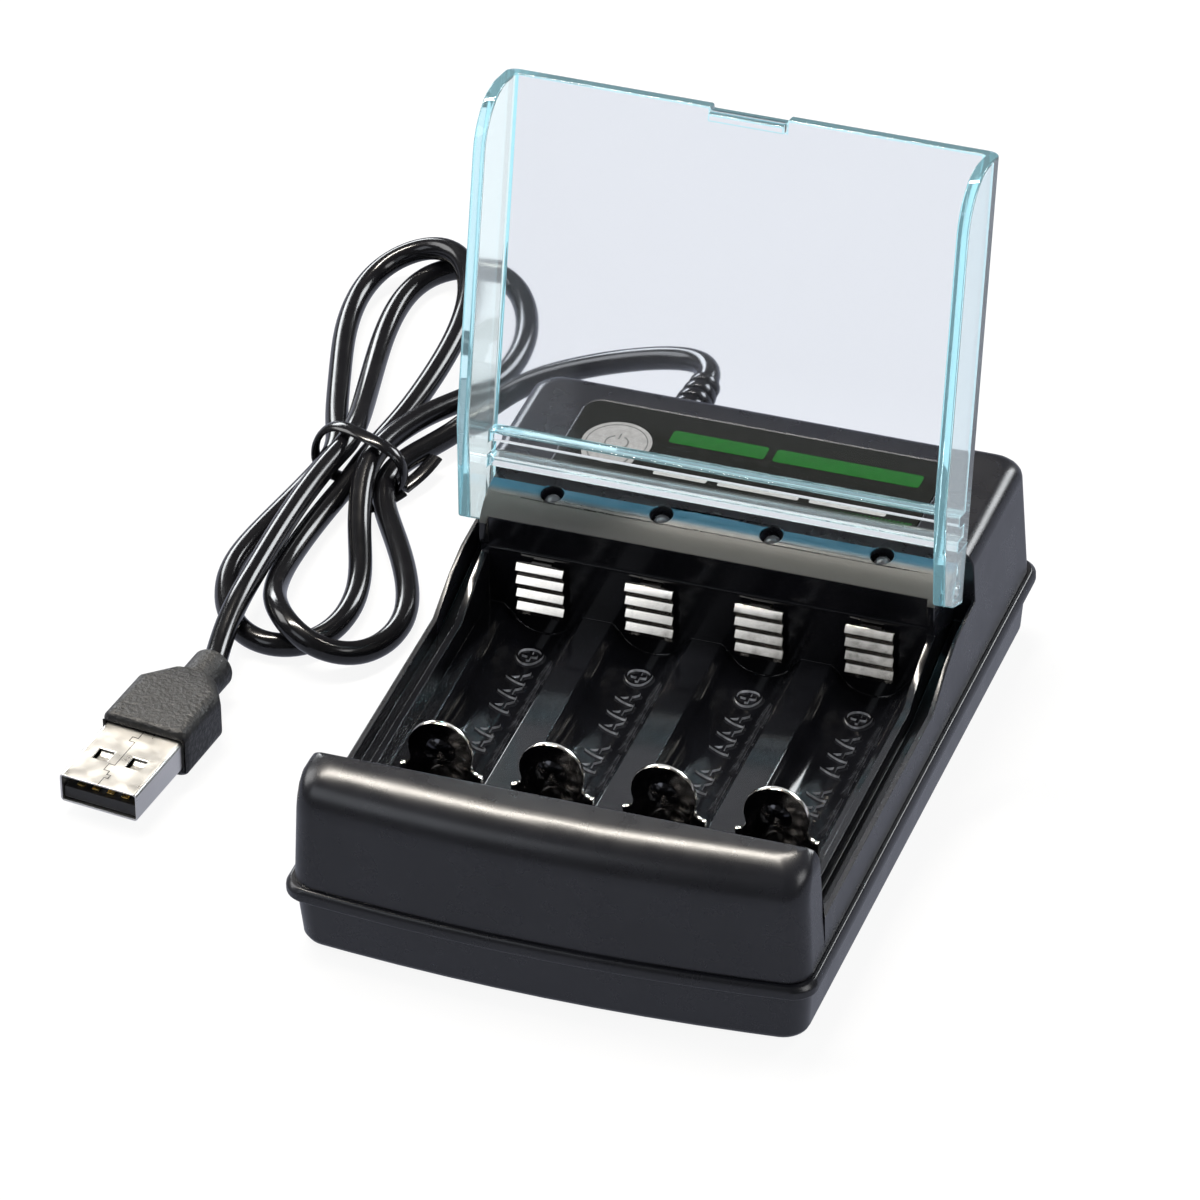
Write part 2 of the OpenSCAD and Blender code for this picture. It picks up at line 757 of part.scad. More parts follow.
// Tie round the neck of the hank
module cord_tie() {
    inner_w = 2 * neck_r + 2 * fit_gap;
    inner_h = hank_h + fit_gap;
    corner = 2 * fit_gap;
    module loop(grow) offset(r = corner + grow) offset(delta = -corner)
        translate([-inner_w / 2, tie_t]) square([inner_w, inner_h - tie_t]);
    color([0.08, 0.08, 0.09]) translate([hank_neck[0], hank_neck[1] + tie_w / 2, 0])
        rotate([90, 0, 0]) linear_extrude(tie_w) difference() {
            loop(tie_t);
            loop(0);
        }
}

// Frame of the plug: the joint of shell and grip, with Y running to the cord
module plug_place() {
    translate(plug_at) rotate([0, 0, plug_turn]) children();
}

// Rounded block section in X and Z, used along the grip
module grip_slice(y, w, h, r) {
    translate([0, y, 0]) rotate([90, 0, 0]) linear_extrude(eps)
        offset(r = r, $fn = 32) square([w - 2 * r, h - 2 * r], center = true);
}

module plug_grip() {
    color([0.1, 0.1, 0.1]) plug_place() difference() {
        union() {
            hull() {
                grip_slice(eps, grip_w - 0.8, grip_h - 0.8, 1.4);
                grip_slice(0.8, grip_w, grip_h, 1.6);
                grip_slice(grip_len - 4.5, grip_w, grip_h, 1.8);
                grip_slice(grip_len, collar_d + 1.2, collar_d + 0.6, 2.4);
            }
            translate([0, grip_len - eps, 0]) rotate([-90, 0, 0]) cylinder(d = collar_d, h = collar_len);
        }
        translate([-shell_w / 2 - shell_root_gap, -1, -shell_h / 2 - shell_root_gap])
            cube([shell_w + 2 * shell_root_gap, 1 + shell_root, shell_h + 2 * shell_root_gap]);
    }
}

// Sheet shell of the plug with its four spring windows
module plug_shell() {
    window = 2.4;
    module box(shrink, r) offset(r = r)
        square([shell_w - 2 * shrink - 2 * r, shell_h - 2 * shrink - 2 * r], center = true);
    color([0.8, 0.8, 0.8]) plug_place() difference() {
        translate([0, shell_root, 0]) rotate([90, 0, 0]) linear_extrude(shell_root + shell_len) difference() {
            box(0, 0.6);
            box(shell_t, 0.3);
        }
        for (s = [-1, 1]) translate([s * 2.6 - window / 2, -shell_len + 5.2, -far / 2])
            cube([window, window, far]);
    }
}

// Insulating tongue inside the shell, with a full-height root that meets the grip
module plug_tongue() {
    lead_in = 1.5;
    color([0.12, 0.12, 0.12]) plug_place() union() {
        translate([-tongue_w / 2, -lead_in, -tongue_root_h / 2])
            cube([tongue_w, shell_root + lead_in, tongue_root_h]);
        translate([-tongue_w / 2, -shell_len + 0.5, -tongue_root_h / 2]) cube([tongue_w, shell_len, tongue_h]);
    }
}

// Four flat contacts on the tongue
module plug_pins() {
    pitch = 2.3;
    pin_w = 1.1;
    pin_t = 0.25;
    color([0.85, 0.7, 0.35]) plug_place() for (k = [-1.5:1:1.5])
        translate([k * pitch - pin_w / 2, -shell_len + 1.2, tongue_h - tongue_root_h / 2])
            cube([pin_w, shell_len - 2.8, pin_t]);
}

lower_case();
upper_case();
lid();
label();
main_board();
control_chip();
capacitor();
case_screws();
for (i = [0:bay_count - 1]) {
    rear_contact(i);
    slider_contact(i);
    slider_spring(i);
    led(i);
}
strain_relief();
cord_lead();
cord_hank();
cord_tie();
cord_tail();
plug_grip();
plug_shell();
plug_tongue();
plug_pins();
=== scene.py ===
"""Cell charger: dresses the solid frame with finishes, a printed label, moulded marks, cord, tie and plug."""
import json
import math

import bmesh
import bpy
from mathutils import Matrix, Vector

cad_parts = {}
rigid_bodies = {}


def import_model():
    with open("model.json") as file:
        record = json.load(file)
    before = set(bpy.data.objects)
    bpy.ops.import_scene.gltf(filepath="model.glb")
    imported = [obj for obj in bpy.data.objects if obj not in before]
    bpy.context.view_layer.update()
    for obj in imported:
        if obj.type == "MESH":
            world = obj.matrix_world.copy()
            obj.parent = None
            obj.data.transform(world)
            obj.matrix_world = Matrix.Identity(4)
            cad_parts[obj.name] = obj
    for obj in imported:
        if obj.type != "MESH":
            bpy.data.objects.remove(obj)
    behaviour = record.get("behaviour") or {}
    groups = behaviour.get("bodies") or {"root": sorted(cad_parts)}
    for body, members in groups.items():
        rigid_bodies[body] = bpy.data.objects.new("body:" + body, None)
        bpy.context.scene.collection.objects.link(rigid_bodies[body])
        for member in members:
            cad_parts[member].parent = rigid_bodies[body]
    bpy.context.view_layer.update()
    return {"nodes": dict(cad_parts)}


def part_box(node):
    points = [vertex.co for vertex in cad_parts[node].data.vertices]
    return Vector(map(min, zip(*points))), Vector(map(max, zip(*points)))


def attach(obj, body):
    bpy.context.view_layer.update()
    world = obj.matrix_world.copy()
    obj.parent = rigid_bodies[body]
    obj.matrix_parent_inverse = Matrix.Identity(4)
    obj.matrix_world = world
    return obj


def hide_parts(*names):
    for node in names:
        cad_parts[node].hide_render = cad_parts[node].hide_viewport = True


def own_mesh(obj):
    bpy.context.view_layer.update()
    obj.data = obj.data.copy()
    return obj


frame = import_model()

bl_info = {
    "name": "Cell Charger",
    "version": (1, 0, 0),
    "blender": (4, 5, 0),
    "location": "3D View > Sidebar > Charger",
    "description": "Builds a four-bay cell charger with a clear lid, a tied lead and a flat plug",
    "category": "Object",
}

MM = 0.001
BAYS = (1, 2, 3, 4)
LABEL_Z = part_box("label")[1].z
PRINT_LIFT = 0.03
LID_TILT = math.radians(13.5)
PLUG_TURN = math.radians(-7)
PLUG_JOINT = Vector((-69.75, -19.2, 3.9)) * MM

# Top of the plug's shell in the plug's own frame, in millimetres, with a hair's breadth for the seam
SHELL_TOP_Z = 2.262

# Radius and height of the axis of the small cell's trough
TROUGH_RADIUS = 5.4 * MM
TROUGH_AXIS_Z = 13.4 * MM

# Depth of the floor under the part, and the place that the lamps point at
FLOOR_DROP = 0.0002
LAMP_AIM = Vector((-0.02, 0.02, 0.02))

# Place and turn of the camera, and its lens in millimetres
CAMERA_PLACE = (0.3494, -0.9916, 0.7872)
CAMERA_AZIMUTH = math.radians(19.89)
CAMERA_ELEVATION = math.radians(35.72)
CAMERA_ROLL = math.radians(-1.16)
CAMERA_LENS = 285.8

# Control points of the cord, from the strain relief through the tied hank to the plug, in millimetres
CORD_ROUTE = (
    (-16, 64.83, 21), (-16.2, 67.5, 20.9), (-17.6, 70.2, 20.5), (-20.5, 72.4, 19.6), (-25, 73.6, 18.2),
    (-30.5, 74.6, 16), (-36, 75.6, 13.4), (-42, 76.6, 10.2), (-47, 76.9, 7.2), (-50.6, 75.6, 4.8),
    (-53.4, 72, 3.2), (-55.8, 66.8, 2.4), (-58.8, 61, 2.5), (-60.9, 56, 2.6), (-60.8, 51, 2.2),
    (-58.6, 46.4, 1.8), (-54.1, 39.6, 1.7), (-49.6, 31.5, 1.7), (-46.7, 23.6, 1.7), (-47.2, 16.4, 1.7),
    (-50.3, 11.2, 2.4), (-55.4, 9.2, 4.2), (-60.2, 11.2, 5.8), (-63.8, 16, 5.4), (-66, 21.4, 3.6),
    (-67.4, 28.5, 2.4), (-67.4, 38.1, 1.9), (-66.6, 46.6, 2), (-65.7, 51.5, 2.4), (-65.5, 56, 2.6),
    (-64.8, 61, 2.8), (-63.6, 68.4, 3), (-63, 76.4, 3.4), (-62.8, 84.4, 3.8), (-63.1, 91.4, 4.3),
    (-64.1, 97.6, 5), (-66.3, 103.3, 5.6), (-69.8, 107.5, 5.8), (-75, 108.5, 4.8), (-79.7, 105.8, 3),
    (-81.6, 100.6, 2), (-81.4, 94, 1.7), (-79.9, 86.4, 1.7), (-76.8, 76.6, 1.8), (-73.6, 66.4, 2),
    (-71, 60.6, 2.4), (-70.1, 56, 2.6), (-70.9, 51, 2.3), (-72.6, 43.3, 1.8), (-74.5, 33.7, 1.7),
    (-74.9, 26.3, 1.7), (-72.7, 18.9, 1.7), (-68.8, 13.3, 1.7), (-63.6, 10.8, 1.7), (-58.4, 12.2, 1.7),
    (-55.3, 17, 1.7), (-54.9, 24.4, 1.7), (-56.8, 32.1, 1.8), (-60.4, 40.4, 2.8), (-62.7, 48, 4.4),
    (-63.2, 52, 5.2), (-63.2, 56, 5.4), (-62.2, 61, 5.2), (-59.8, 68, 4.6), (-56.2, 75.6, 3),
    (-53.6, 83.4, 1.8), (-53.4, 92.6, 1.7), (-55.6, 100.2, 1.7), (-58.9, 106, 1.7), (-63.4, 109.9, 1.7),
    (-69.2, 109.9, 1.7), (-73.7, 106, 1.7), (-75.2, 99.4, 1.7), (-74.9, 92.4, 1.7), (-73.9, 85.4, 1.7),
    (-71.8, 75.8, 2.4), (-69.4, 66, 4), (-68.2, 60.4, 5.2), (-67.8, 56, 5.4), (-68.5, 51.6, 5.6),
    (-69.4, 42.8, 5.4), (-69.5, 31.7, 5.4), (-69.2, 23, 5.5), (-69, 15.7, 5.6), (-68.7, 9.3, 4.6),
    (-67.9, 4.2, 4), (-67.26, 1.05, 3.9),
)

# Course of the tie round the hank's neck and its two loose ends, in millimetres
TIE_ROUND = (
    (-58.2, 53, 2), (-58, 53.4, 4.4), (-59.4, 53.8, 6.9), (-62.4, 54.1, 8), (-65.2, 54.9, 8.2),
    (-68.4, 56.4, 8.1), (-71.2, 57.4, 6.9), (-73, 57, 4.6), (-73, 56, 2.2), (-71.6, 55.2, 0.5),
    (-68, 54.4, 0.3), (-63.5, 53.6, 0.3), (-59.6, 53, 0.5),
)
TIE_ENDS = (
    ((-58.4, 53.4, 1.2), (-57.4, 55.4, 1.6), (-56.6, 58, 1.9), (-56.2, 60.8, 2.2)),
    ((-58.6, 53, 0.8), (-59.4, 51, 0.8), (-61, 48.8, 0.7), (-62.6, 47.2, 0.6)),
)


class ChargerSizes(bpy.types.PropertyGroup):
    """Sizes that a user would change."""

    edge_round: bpy.props.FloatProperty(
        name="Edge round", description="Radius of the moulded edges",
        default=0.00018, unit="LENGTH", precision=5)
    lid_round: bpy.props.FloatProperty(
        name="Lid round", description="Radius of the clear lid's edges",
        default=0.0003, unit="LENGTH", precision=5)
    cord_width: bpy.props.FloatProperty(
        name="Cord width", description="Diameter of the cord",
        default=0.0034, unit="LENGTH", precision=5)
    spring_turns: bpy.props.FloatProperty(
        name="Spring turns", description="Turns of each slider spring",
        default=9.0)
    spring_wire: bpy.props.FloatProperty(
        name="Spring wire", description="Diameter of the springs' wire",
        default=0.0005, unit="LENGTH", precision=5)
    mark_height: bpy.props.FloatProperty(
        name="Mark height", description="Height of the moulded marks",
        default=0.0004, unit="LENGTH", precision=5)


class ChargerColours(bpy.types.PropertyGroup):
    """Colours that a user would change."""

    case: bpy.props.FloatVectorProperty(
        name="Case", description="Outside of the case", default=(0.0085, 0.009, 0.012), subtype="COLOR")
    bay: bpy.props.FloatVectorProperty(
        name="Bay", description="Polished inside of the bays",
        default=(0.004, 0.0042, 0.0055), subtype="COLOR")
    lid_panel: bpy.props.FloatVectorProperty(
        name="Lid panel", description="Tint of the lid's panel", default=(0.85, 0.88, 0.94), subtype="COLOR")
    # Tint of the lid's walls, which also glow faintly in it: painted glow
    lid_wall_and_painted_glow: bpy.props.FloatVectorProperty(
        name="Lid wall", description="Tint of the lid's side walls",
        default=(0.86, 0.97, 0.99), subtype="COLOR")
    # Tint of the lid's edges, which also glow in it: painted glow
    lid_edge_and_painted_glow: bpy.props.FloatVectorProperty(
        name="Lid edge", description="Tint of the lid's edges", default=(0.46, 0.84, 0.95), subtype="COLOR")
    # Painted sheen: the lighter grey that the top of the hinge strip gets for the light falling on it
    strip_painted_sheen_grey: bpy.props.FloatVectorProperty(
        name="Strip painted sheen", description="Grey of the hinge strip",
        default=(0.085, 0.086, 0.08), subtype="COLOR")
    # Painted reflection of the lid's blue at the top of the hinge strip
    strip_painted_lid_blue: bpy.props.FloatVectorProperty(
        name="Strip painted lid blue", description="Blue at the top of the hinge strip",
        default=(0.016, 0.12, 0.19), subtype="COLOR")
    nickel: bpy.props.FloatVectorProperty(
        name="Nickel", description="Plated contacts", default=(0.92, 0.87, 0.79), subtype="COLOR")
    # Painted shade: nickel darkened to stand for the dark bay that the plates mirror
    plate: bpy.props.FloatVectorProperty(
        name="Plate", description="Dark mirror of the slider plates",
        default=(0.055, 0.055, 0.06), subtype="COLOR")
    # Painted glint on the sides of the marks, which are the same black moulding as their tops
    mark: bpy.props.FloatVectorProperty(
        name="Mark", description="Sides of the moulded marks", default=(0.5, 0.51, 0.54), subtype="COLOR")
    shell: bpy.props.FloatVectorProperty(
        name="Shell", description="Plug shell", default=(0.8, 0.78, 0.74), subtype="COLOR")
    label: bpy.props.FloatVectorProperty(
        name="Label", description="Ground of the label", default=(0.004, 0.0045, 0.003), subtype="COLOR")
    print_green: bpy.props.FloatVectorProperty(
        name="Print green", description="Green print", default=(0.005, 0.07, 0.008), subtype="COLOR")
    print_pale: bpy.props.FloatVectorProperty(
        name="Print pale", description="Pale print", default=(0.36, 0.36, 0.34), subtype="COLOR")
    cord: bpy.props.FloatVectorProperty(
        name="Cord", description="Sheath of the cord", default=(0.004, 0.004, 0.005), subtype="COLOR")
    grip: bpy.props.FloatVectorProperty(
        name="Grip", description="Grained grip of the plug", default=(0.005, 0.005, 0.0055), subtype="COLOR")


def sizes():
    return bpy.context.scene.charger_sizes


def colours():
    return bpy.context.scene.charger_colours


# Objects and meshes
def link(obj):
    bpy.context.scene.collection.objects.link(obj)
    return obj


def mesh_object(name, bm):
    """Object with the mesh of bm, which is freed."""
    mesh = bpy.data.meshes.new(name)
    bm.to_mesh(mesh)
    bm.free()
    return link(bpy.data.objects.new(name, mesh))


def node_copy(node, name):
    """Merged copy of a solid's mesh, with its flat faces joined and the hollow-edged ones split again."""
    mesh = frame["nodes"][node].data.copy()
    mesh.name = name
    mesh.materials.clear()
    bm = bmesh.new()
    bm.from_mesh(mesh)
    bmesh.ops.remove_doubles(bm, verts=bm.verts, dist=2e-6)
    bmesh.ops.dissolve_limit(bm, angle_limit=math.radians(0.4), verts=bm.verts, edges=bm.edges)
    bmesh.ops.connect_verts_concave(bm, faces=bm.faces)
    bm.to_mesh(mesh)
    bm.free()
    return link(bpy.data.objects.new(name, mesh))


def bake_down(obj):
    """Turns an object with modifiers into one with a plain mesh."""
    graph = bpy.context.evaluated_depsgraph_get()
    mesh = bpy.data.meshes.new_from_object(obj.evaluated_get(graph), depsgraph=graph)
    name = obj.name
    if obj.type == "MESH":
        obj.modifiers.clear()
        obj.data = mesh
    else:
        bpy.data.objects.remove(obj)
        obj = link(bpy.data.objects.new(name, mesh))
    mesh.name = name
    return obj


def shade(obj, angle=35):
    """Smooth shading, with sharp edges over the angle."""
    obj.data.polygons.foreach_set("use_smooth", [True] * len(obj.data.polygons))
    obj.data.set_sharp_from_angle(angle=math.radians(angle))
    return obj


def rounded(obj, width, segments=2, limit=40, even=True):
    """Rounds the edges that turn by more than limit; even keeps large faces flat to the eye."""
    obj.data.polygons.foreach_set("use_smooth", [True] * len(obj.data.polygons))
    bevel = obj.modifiers.new("Round", "BEVEL")
    bevel.width = width
    bevel.segments = segments
    bevel.limit_method = "ANGLE"
    bevel.angle_limit = math.radians(limit)
    bevel.use_clamp_overlap = False
    if even:
        weigh = obj.modifiers.new("Weigh", "WEIGHTED_NORMAL")
        weigh.mode = "FACE_AREA"
        weigh.weight = 50
    return bake_down(obj)


def settle(obj, body, slot, *nodes):
    """Hands a finished piece to its body, in place of these solids; slot is not used."""
    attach(obj, body)
    if nodes:
        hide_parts(*nodes)
    return obj


# Materials
def finish_of(name, colour, roughness, **sockets):
    """Material with one shader, its constants set on the shader's own sockets."""
    made = bpy.data.materials.new(name)
    made.use_nodes = True
    shader = made.node_tree.nodes["Principled BSDF"]
    shader.inputs["Base Color"].default_value = (*colour, 1)
    shader.inputs["Roughness"].default_value = roughness
    for key, value in sockets.items():
        shader.inputs[key.replace("_", " ")].default_value = value
    return made


def shader_of(material):
    return material.node_tree.nodes["Principled BSDF"]


def noise(material, scale, detail=2.0, stretch=(1, 1, 1)):
    """Noise over the piece's own coordinates."""
    nodes, links = material.node_tree.nodes, material.node_tree.links
    place = nodes.new("ShaderNodeTexCoord")
    mapping = nodes.new("ShaderNodeMapping")
    mapping.inputs["Scale"].default_value = stretch
    grain = nodes.new("ShaderNodeTexNoise")
    grain.inputs["Scale"].default_value = scale
    grain.inputs["Detail"].default_value = detail
    links.new(place.outputs["Object"], mapping.inputs["Vector"])
    links.new(mapping.outputs["Vector"], grain.inputs["Vector"])
    return grain.outputs["Fac"]


def vary_roughness(material, scale, low, high, stretch=(1, 1, 1)):
    nodes, links = material.node_tree.nodes, material.node_tree.links
    spread = nodes.new("ShaderNodeMapRange")
    spread.inputs["From Min"].default_value = 0.3
    spread.inputs["From Max"].default_value = 0.7
    spread.inputs["To Min"].default_value = low
    spread.inputs["To Max"].default_value = high
    links.new(noise(material, scale, 3.0, stretch), spread.inputs["Value"])
    links.new(spread.outputs["Result"], shader_of(material).inputs["Roughness"])
    return material


def vary_colour(material, scale, first, second, stretch=(1, 1, 1)):
    nodes, links = material.node_tree.nodes, material.node_tree.links
    ramp = nodes.new("ShaderNodeValToRGB")
    ramp.color_ramp.elements[0].position = 0.35
    ramp.color_ramp.elements[0].color = (*first, 1)
    ramp.color_ramp.elements[1].position = 0.65
    ramp.color_ramp.elements[1].color = (*second, 1)
    links.new(noise(material, scale, 3.0, stretch), ramp.inputs["Fac"])
    links.new(ramp.outputs["Color"], shader_of(material).inputs["Base Color"])
    return material


def add_grain(material, scale, depth, detail=2.0, stretch=(1, 1, 1)):
    """Bump of a given depth in metres."""
    nodes, links = material.node_tree.nodes, material.node_tree.links
    bump = nodes.new("ShaderNodeBump")
    bump.inputs["Strength"].default_value = 1.0
    bump.inputs["Distance"].default_value = depth
    links.new(noise(material, scale, detail, stretch), bump.inputs["Height"])
    links.new(bump.outputs["Normal"], shader_of(material).inputs["Normal"])
    return material


def shift(colour, factor):
    return tuple(min(1.0, c * factor) for c in colour)


def satin_black():
    colour = colours().case
    made = finish_of("satin_black", colour, 0.28, IOR=1.5)
    vary_colour(made, 90, shift(colour, 0.9), shift(colour, 1.15))
    vary_roughness(made, 260, 0.26, 0.3)
    return add_grain(made, 2600, 0.0000012)


def polished_black():
    colour = colours().bay
    made = finish_of("polished_black", colour, 0.12, IOR=1.52)
    vary_colour(made, 120, shift(colour, 0.8), shift(colour, 1.3))
    vary_roughness(made, 180, 0.08, 0.14)
    return add_grain(made, 160, 0.00001, 1.0)


def along(material, axis, start, end):
    """Share from 0 to 1 between two places on one axis of the piece, in millimetres."""
    nodes, links = material.node_tree.nodes, material.node_tree.links
    place = nodes.new("ShaderNodeTexCoord")
    split = nodes.new("ShaderNodeSeparateXYZ")
    share = nodes.new("ShaderNodeMapRange")
    share.interpolation_type = "SMOOTHSTEP"
    share.inputs["From Min"].default_value = start * MM
    share.inputs["From Max"].default_value = end * MM
    links.new(place.outputs["Object"], split.inputs["Vector"])
    links.new(split.outputs[axis], share.inputs["Value"])
    return share.outputs["Result"]


def strip_painted_sheen():
    """Satin of the strip over the hinge, its lighter grey a painted sheen on the black moulding, with a
    painted reflection of the lid's blue near its top.
    """
    colour = colours().strip_painted_sheen_grey
    made = finish_of("strip_painted_sheen", colour, 0.42, IOR=1.5)
    nodes, links = made.node_tree.nodes, made.node_tree.links
    ramp = nodes.new("ShaderNodeValToRGB")
    ramp.color_ramp.elements[0].color = (*colour, 1)
    ramp.color_ramp.elements[1].color = (*colours().strip_painted_lid_blue, 1)
    links.new(along(made, "Y", 20.4, 21.8), ramp.inputs["Fac"])
    links.new(ramp.outputs["Color"], shader_of(made).inputs["Base Color"])
    vary_roughness(made, 320, 0.38, 0.46, (1, 0.2, 1))
    return add_grain(made, 1800, 0.000002)


def clear_plastic(name, colour, clear, shine, painted_glow=0.0):
    """Tinted clear plastic: its clear share, how strongly it mirrors light, and a painted glow in its tint,
    standing for light that it catches.
    """
    made = finish_of(name, colour, 0.03, IOR=1.49, Transmission_Weight=clear, Emission_Strength=painted_glow)
    shader_of(made).inputs["Specular Tint"].default_value = (shine, shine, shine, 1)
    shader_of(made).inputs["Emission Color"].default_value = (*colour, 1)
    vary_roughness(made, 60, 0.015, 0.04)
    return add_grain(made, 40, 0.00001, 1.0)


def add_haze_painted_veil(material, clear, painted_veil_clear):
    """Makes the panel less clear over its upper part and near its left side: a painted sheen, the pale veil
    of reflected light there.
    """
    nodes, links = material.node_tree.nodes, material.node_tree.links
    either = nodes.new("ShaderNodeMath")
    either.operation = "MAXIMUM"
    links.new(along(material, "Z", 43, 53), either.inputs[0])
    links.new(along(material, "X", -20.5, -24), either.inputs[1])
    spread = nodes.new("ShaderNodeMapRange")
    spread.inputs["To Min"].default_value = clear
    spread.inputs["To Max"].default_value = painted_veil_clear
    links.new(either.outputs[0], spread.inputs["Value"])
    links.new(spread.outputs["Result"], shader_of(material).inputs["Transmission Weight"])
    return material


def plated(name, colour, low, high, stretch=(1, 1, 1), scale=500):
    made = finish_of(name, colour, low, Metallic=1.0)
    vary_colour(made, scale / 4, shift(colour, 0.9), shift(colour, 1.08), stretch)
    vary_roughness(made, scale, low, high, stretch)
    return add_grain(made, scale * 2, 0.0000015, 2.0, stretch)


def sheath_black():
    colour = colours().cord
    made = finish_of("sheath_black", colour, 0.16, IOR=1.5)
    vary_colour(made, 60, shift(colour, 0.8), shift(colour, 1.4))
    vary_roughness(made, 300, 0.14, 0.19)
    return add_grain(made, 700, 0.000005)


def print_ink(name, colour, **sockets):
    made = finish_of(name, colour, 0.4, **sockets)
    vary_colour(made, 1500, shift(colour, 0.88), shift(colour, 1.08))
    return vary_roughness(made, 800, 0.34, 0.46)


# Geometry trees
class Tree:
    """Geometry tree with named inputs, one chain of nodes and an output."""

    def __init__(self, name, inputs):
        self.group = bpy.data.node_groups.new(name, "GeometryNodeTree")
        self.ids = {}
        for label, kind, value in inputs:
            socket = self.group.interface.new_socket(label, in_out="INPUT", socket_type="NodeSocket" + kind)
            if value is not None:
                socket.default_value = value
            self.ids[label] = socket.identifier
        self.group.interface.new_socket("Geometry", in_out="OUTPUT", socket_type="NodeSocketGeometry")
        self.source = self.group.nodes.new("NodeGroupInput")
        self.result = self.group.nodes.new("NodeGroupOutput")

    def add(self, kind, values=None, **wires):
        """Node with fixed values by socket name, and wires from sockets or input names."""
        node = self.group.nodes.new(kind)
        for key, value in (values or {}).items():
            node.inputs[key].default_value = value
        for key, wire in wires.items():
            origin = self.source.outputs[wire] if isinstance(wire, str) else wire
            self.group.links.new(origin, node.inputs[key.replace("_", " ")])
        return node

    def close(self, geometry, material):
        """Realised and finished result."""
        real = self.add("GeometryNodeRealizeInstances", Geometry=geometry)
        smooth = self.add("GeometryNodeSetShadeSmooth", Geometry=real.outputs["Geometry"])
        paint = self.add("GeometryNodeSetMaterial", {"Material": material}, Geometry=smooth.outputs[0])
        self.group.links.new(paint.outputs["Geometry"], self.result.inputs["Geometry"])

    def run(self, obj, values):
        """Sets the inputs, evaluates the tree on obj and returns a plain mesh object."""
        modifier = obj.modifiers.new("Shape", "NODES")
        modifier.node_group = self.group
        for label, value in values.items():
            modifier[self.ids[label]] = value
        return bake_down(obj)


def empty_object(name):
    return link(bpy.data.objects.new(name, bpy.data.meshes.new(name)))


def tube_tree(material):
    """Round tube along the object's curve."""
    tree = Tree("Cord tube", [
        ("Geometry", "Geometry", None), ("Radius", "Float", 0.0017), ("Sides", "Int", 20),
    ])
    ring = tree.add("GeometryNodeCurvePrimitiveCircle", Resolution="Sides", Radius="Radius")
    tube = tree.add("GeometryNodeCurveToMesh", {"Fill Caps": True}, Curve="Geometry")
    tree.group.links.new(ring.outputs["Curve"], tube.inputs["Profile Curve"])
    tree.close(tube.outputs["Mesh"], material)
    return tree


def spring_tree(material):
    """Coil of wire that runs along Y from a place."""
    tree = Tree("Slider spring", [
        ("Turns", "Float", 9.0), ("Radius", "Float", 0.00235), ("Length", "Float", 0.022),
        ("Wire", "Float", 0.00025), ("Place", "Vector", (0, 0, 0)),
    ])
    coil = tree.add(
        "GeometryNodeCurveSpiral", {"Resolution": 28}, Rotations="Turns",
        Start_Radius="Radius", End_Radius="Radius", Height="Length")
    laid = tree.add(
        "GeometryNodeTransform", {"Rotation": (-math.pi / 2, 0, 0)},
        Geometry=coil.outputs["Curve"], Translation="Place")
    ring = tree.add("GeometryNodeCurvePrimitiveCircle", {"Resolution": 10}, Radius="Wire")
    wire = tree.add("GeometryNodeCurveToMesh", {"Fill Caps": True}, Curve=laid.outputs["Geometry"])
    tree.group.links.new(ring.outputs["Curve"], wire.inputs["Profile Curve"])
    tree.close(wire.outputs["Mesh"], material)
    return tree


def dots_tree(material):
    """Rows of dots that grow to the right, printed on the label."""
    tree = Tree("Label dots", [
        ("Columns", "Int", 24), ("Rows", "Int", 6), ("Width", "Float", 0.014), ("Depth", "Float", 0.003),
        ("Dot", "Float", 0.00024), ("Place", "Vector", (0, 0, 0)),
    ])
    grid = tree.add(
        "GeometryNodeMeshGrid", Size_X="Width", Size_Y="Depth", Vertices_X="Columns", Vertices_Y="Rows")
    dot = tree.add("GeometryNodeMeshCircle", {"Vertices": 10}, Radius="Dot")
    dot.fill_type = "NGON"
    place = tree.add("GeometryNodeInputPosition")
    split = tree.add("ShaderNodeSeparateXYZ", Vector=place.outputs["Position"])
    share = tree.add("ShaderNodeMath", Value=split.outputs["X"])
    share.operation = "DIVIDE"
    tree.group.links.new(tree.source.outputs["Width"], share.inputs[1])
    grow = tree.add("ShaderNodeMapRange", {"From Min": -0.5, "From Max": 0.5, "To Min": 0.25, "To Max": 1.0},
                    Value=share.outputs[0])
    many = tree.add("GeometryNodeInstanceOnPoints", Points=grid.outputs["Mesh"], Instance=dot.outputs["Mesh"])
    tree.group.links.new(grow.outputs["Result"], many.inputs["Scale"])
    laid = tree.add("GeometryNodeTransform", Geometry=many.outputs["Instances"], Translation="Place")
    tree.close(laid.outputs["Geometry"], material)
    return tree


# Flat print and moulded marks
def add_outline(bm, points, z, depth):
    """Flat plate with this outline, its top at z."""
    face = bm.faces.new([bm.verts.new((x, y, z)) for x, y in points])
    face.normal_update()
    if face.normal.z < 0:
        face.normal_flip()
    below = bmesh.ops.extrude_face_region(bm, geom=[face])
    moved = [v for v in below["geom"] if isinstance(v, bmesh.types.BMVert)]
    bmesh.ops.translate(bm, verts=moved, vec=(0, 0, -depth))
    bmesh.ops.recalc_face_normals(bm, faces=bm.faces)


def bar_points(x0, y0, x1, y1, r, steps=4):
    """Outline of a bar with rounded corners."""
    points = []
    corners = ((x1 - r, y1 - r, 0), (x0 + r, y1 - r, 90), (x0 + r, y0 + r, 180), (x1 - r, y0 + r, 270))
    for cx, cy, start in corners:
        for k in range(steps + 1):
            a = math.radians(start + 90 * k / steps)
            points.append((cx + r * math.cos(a), cy + r * math.sin(a)))
    return points


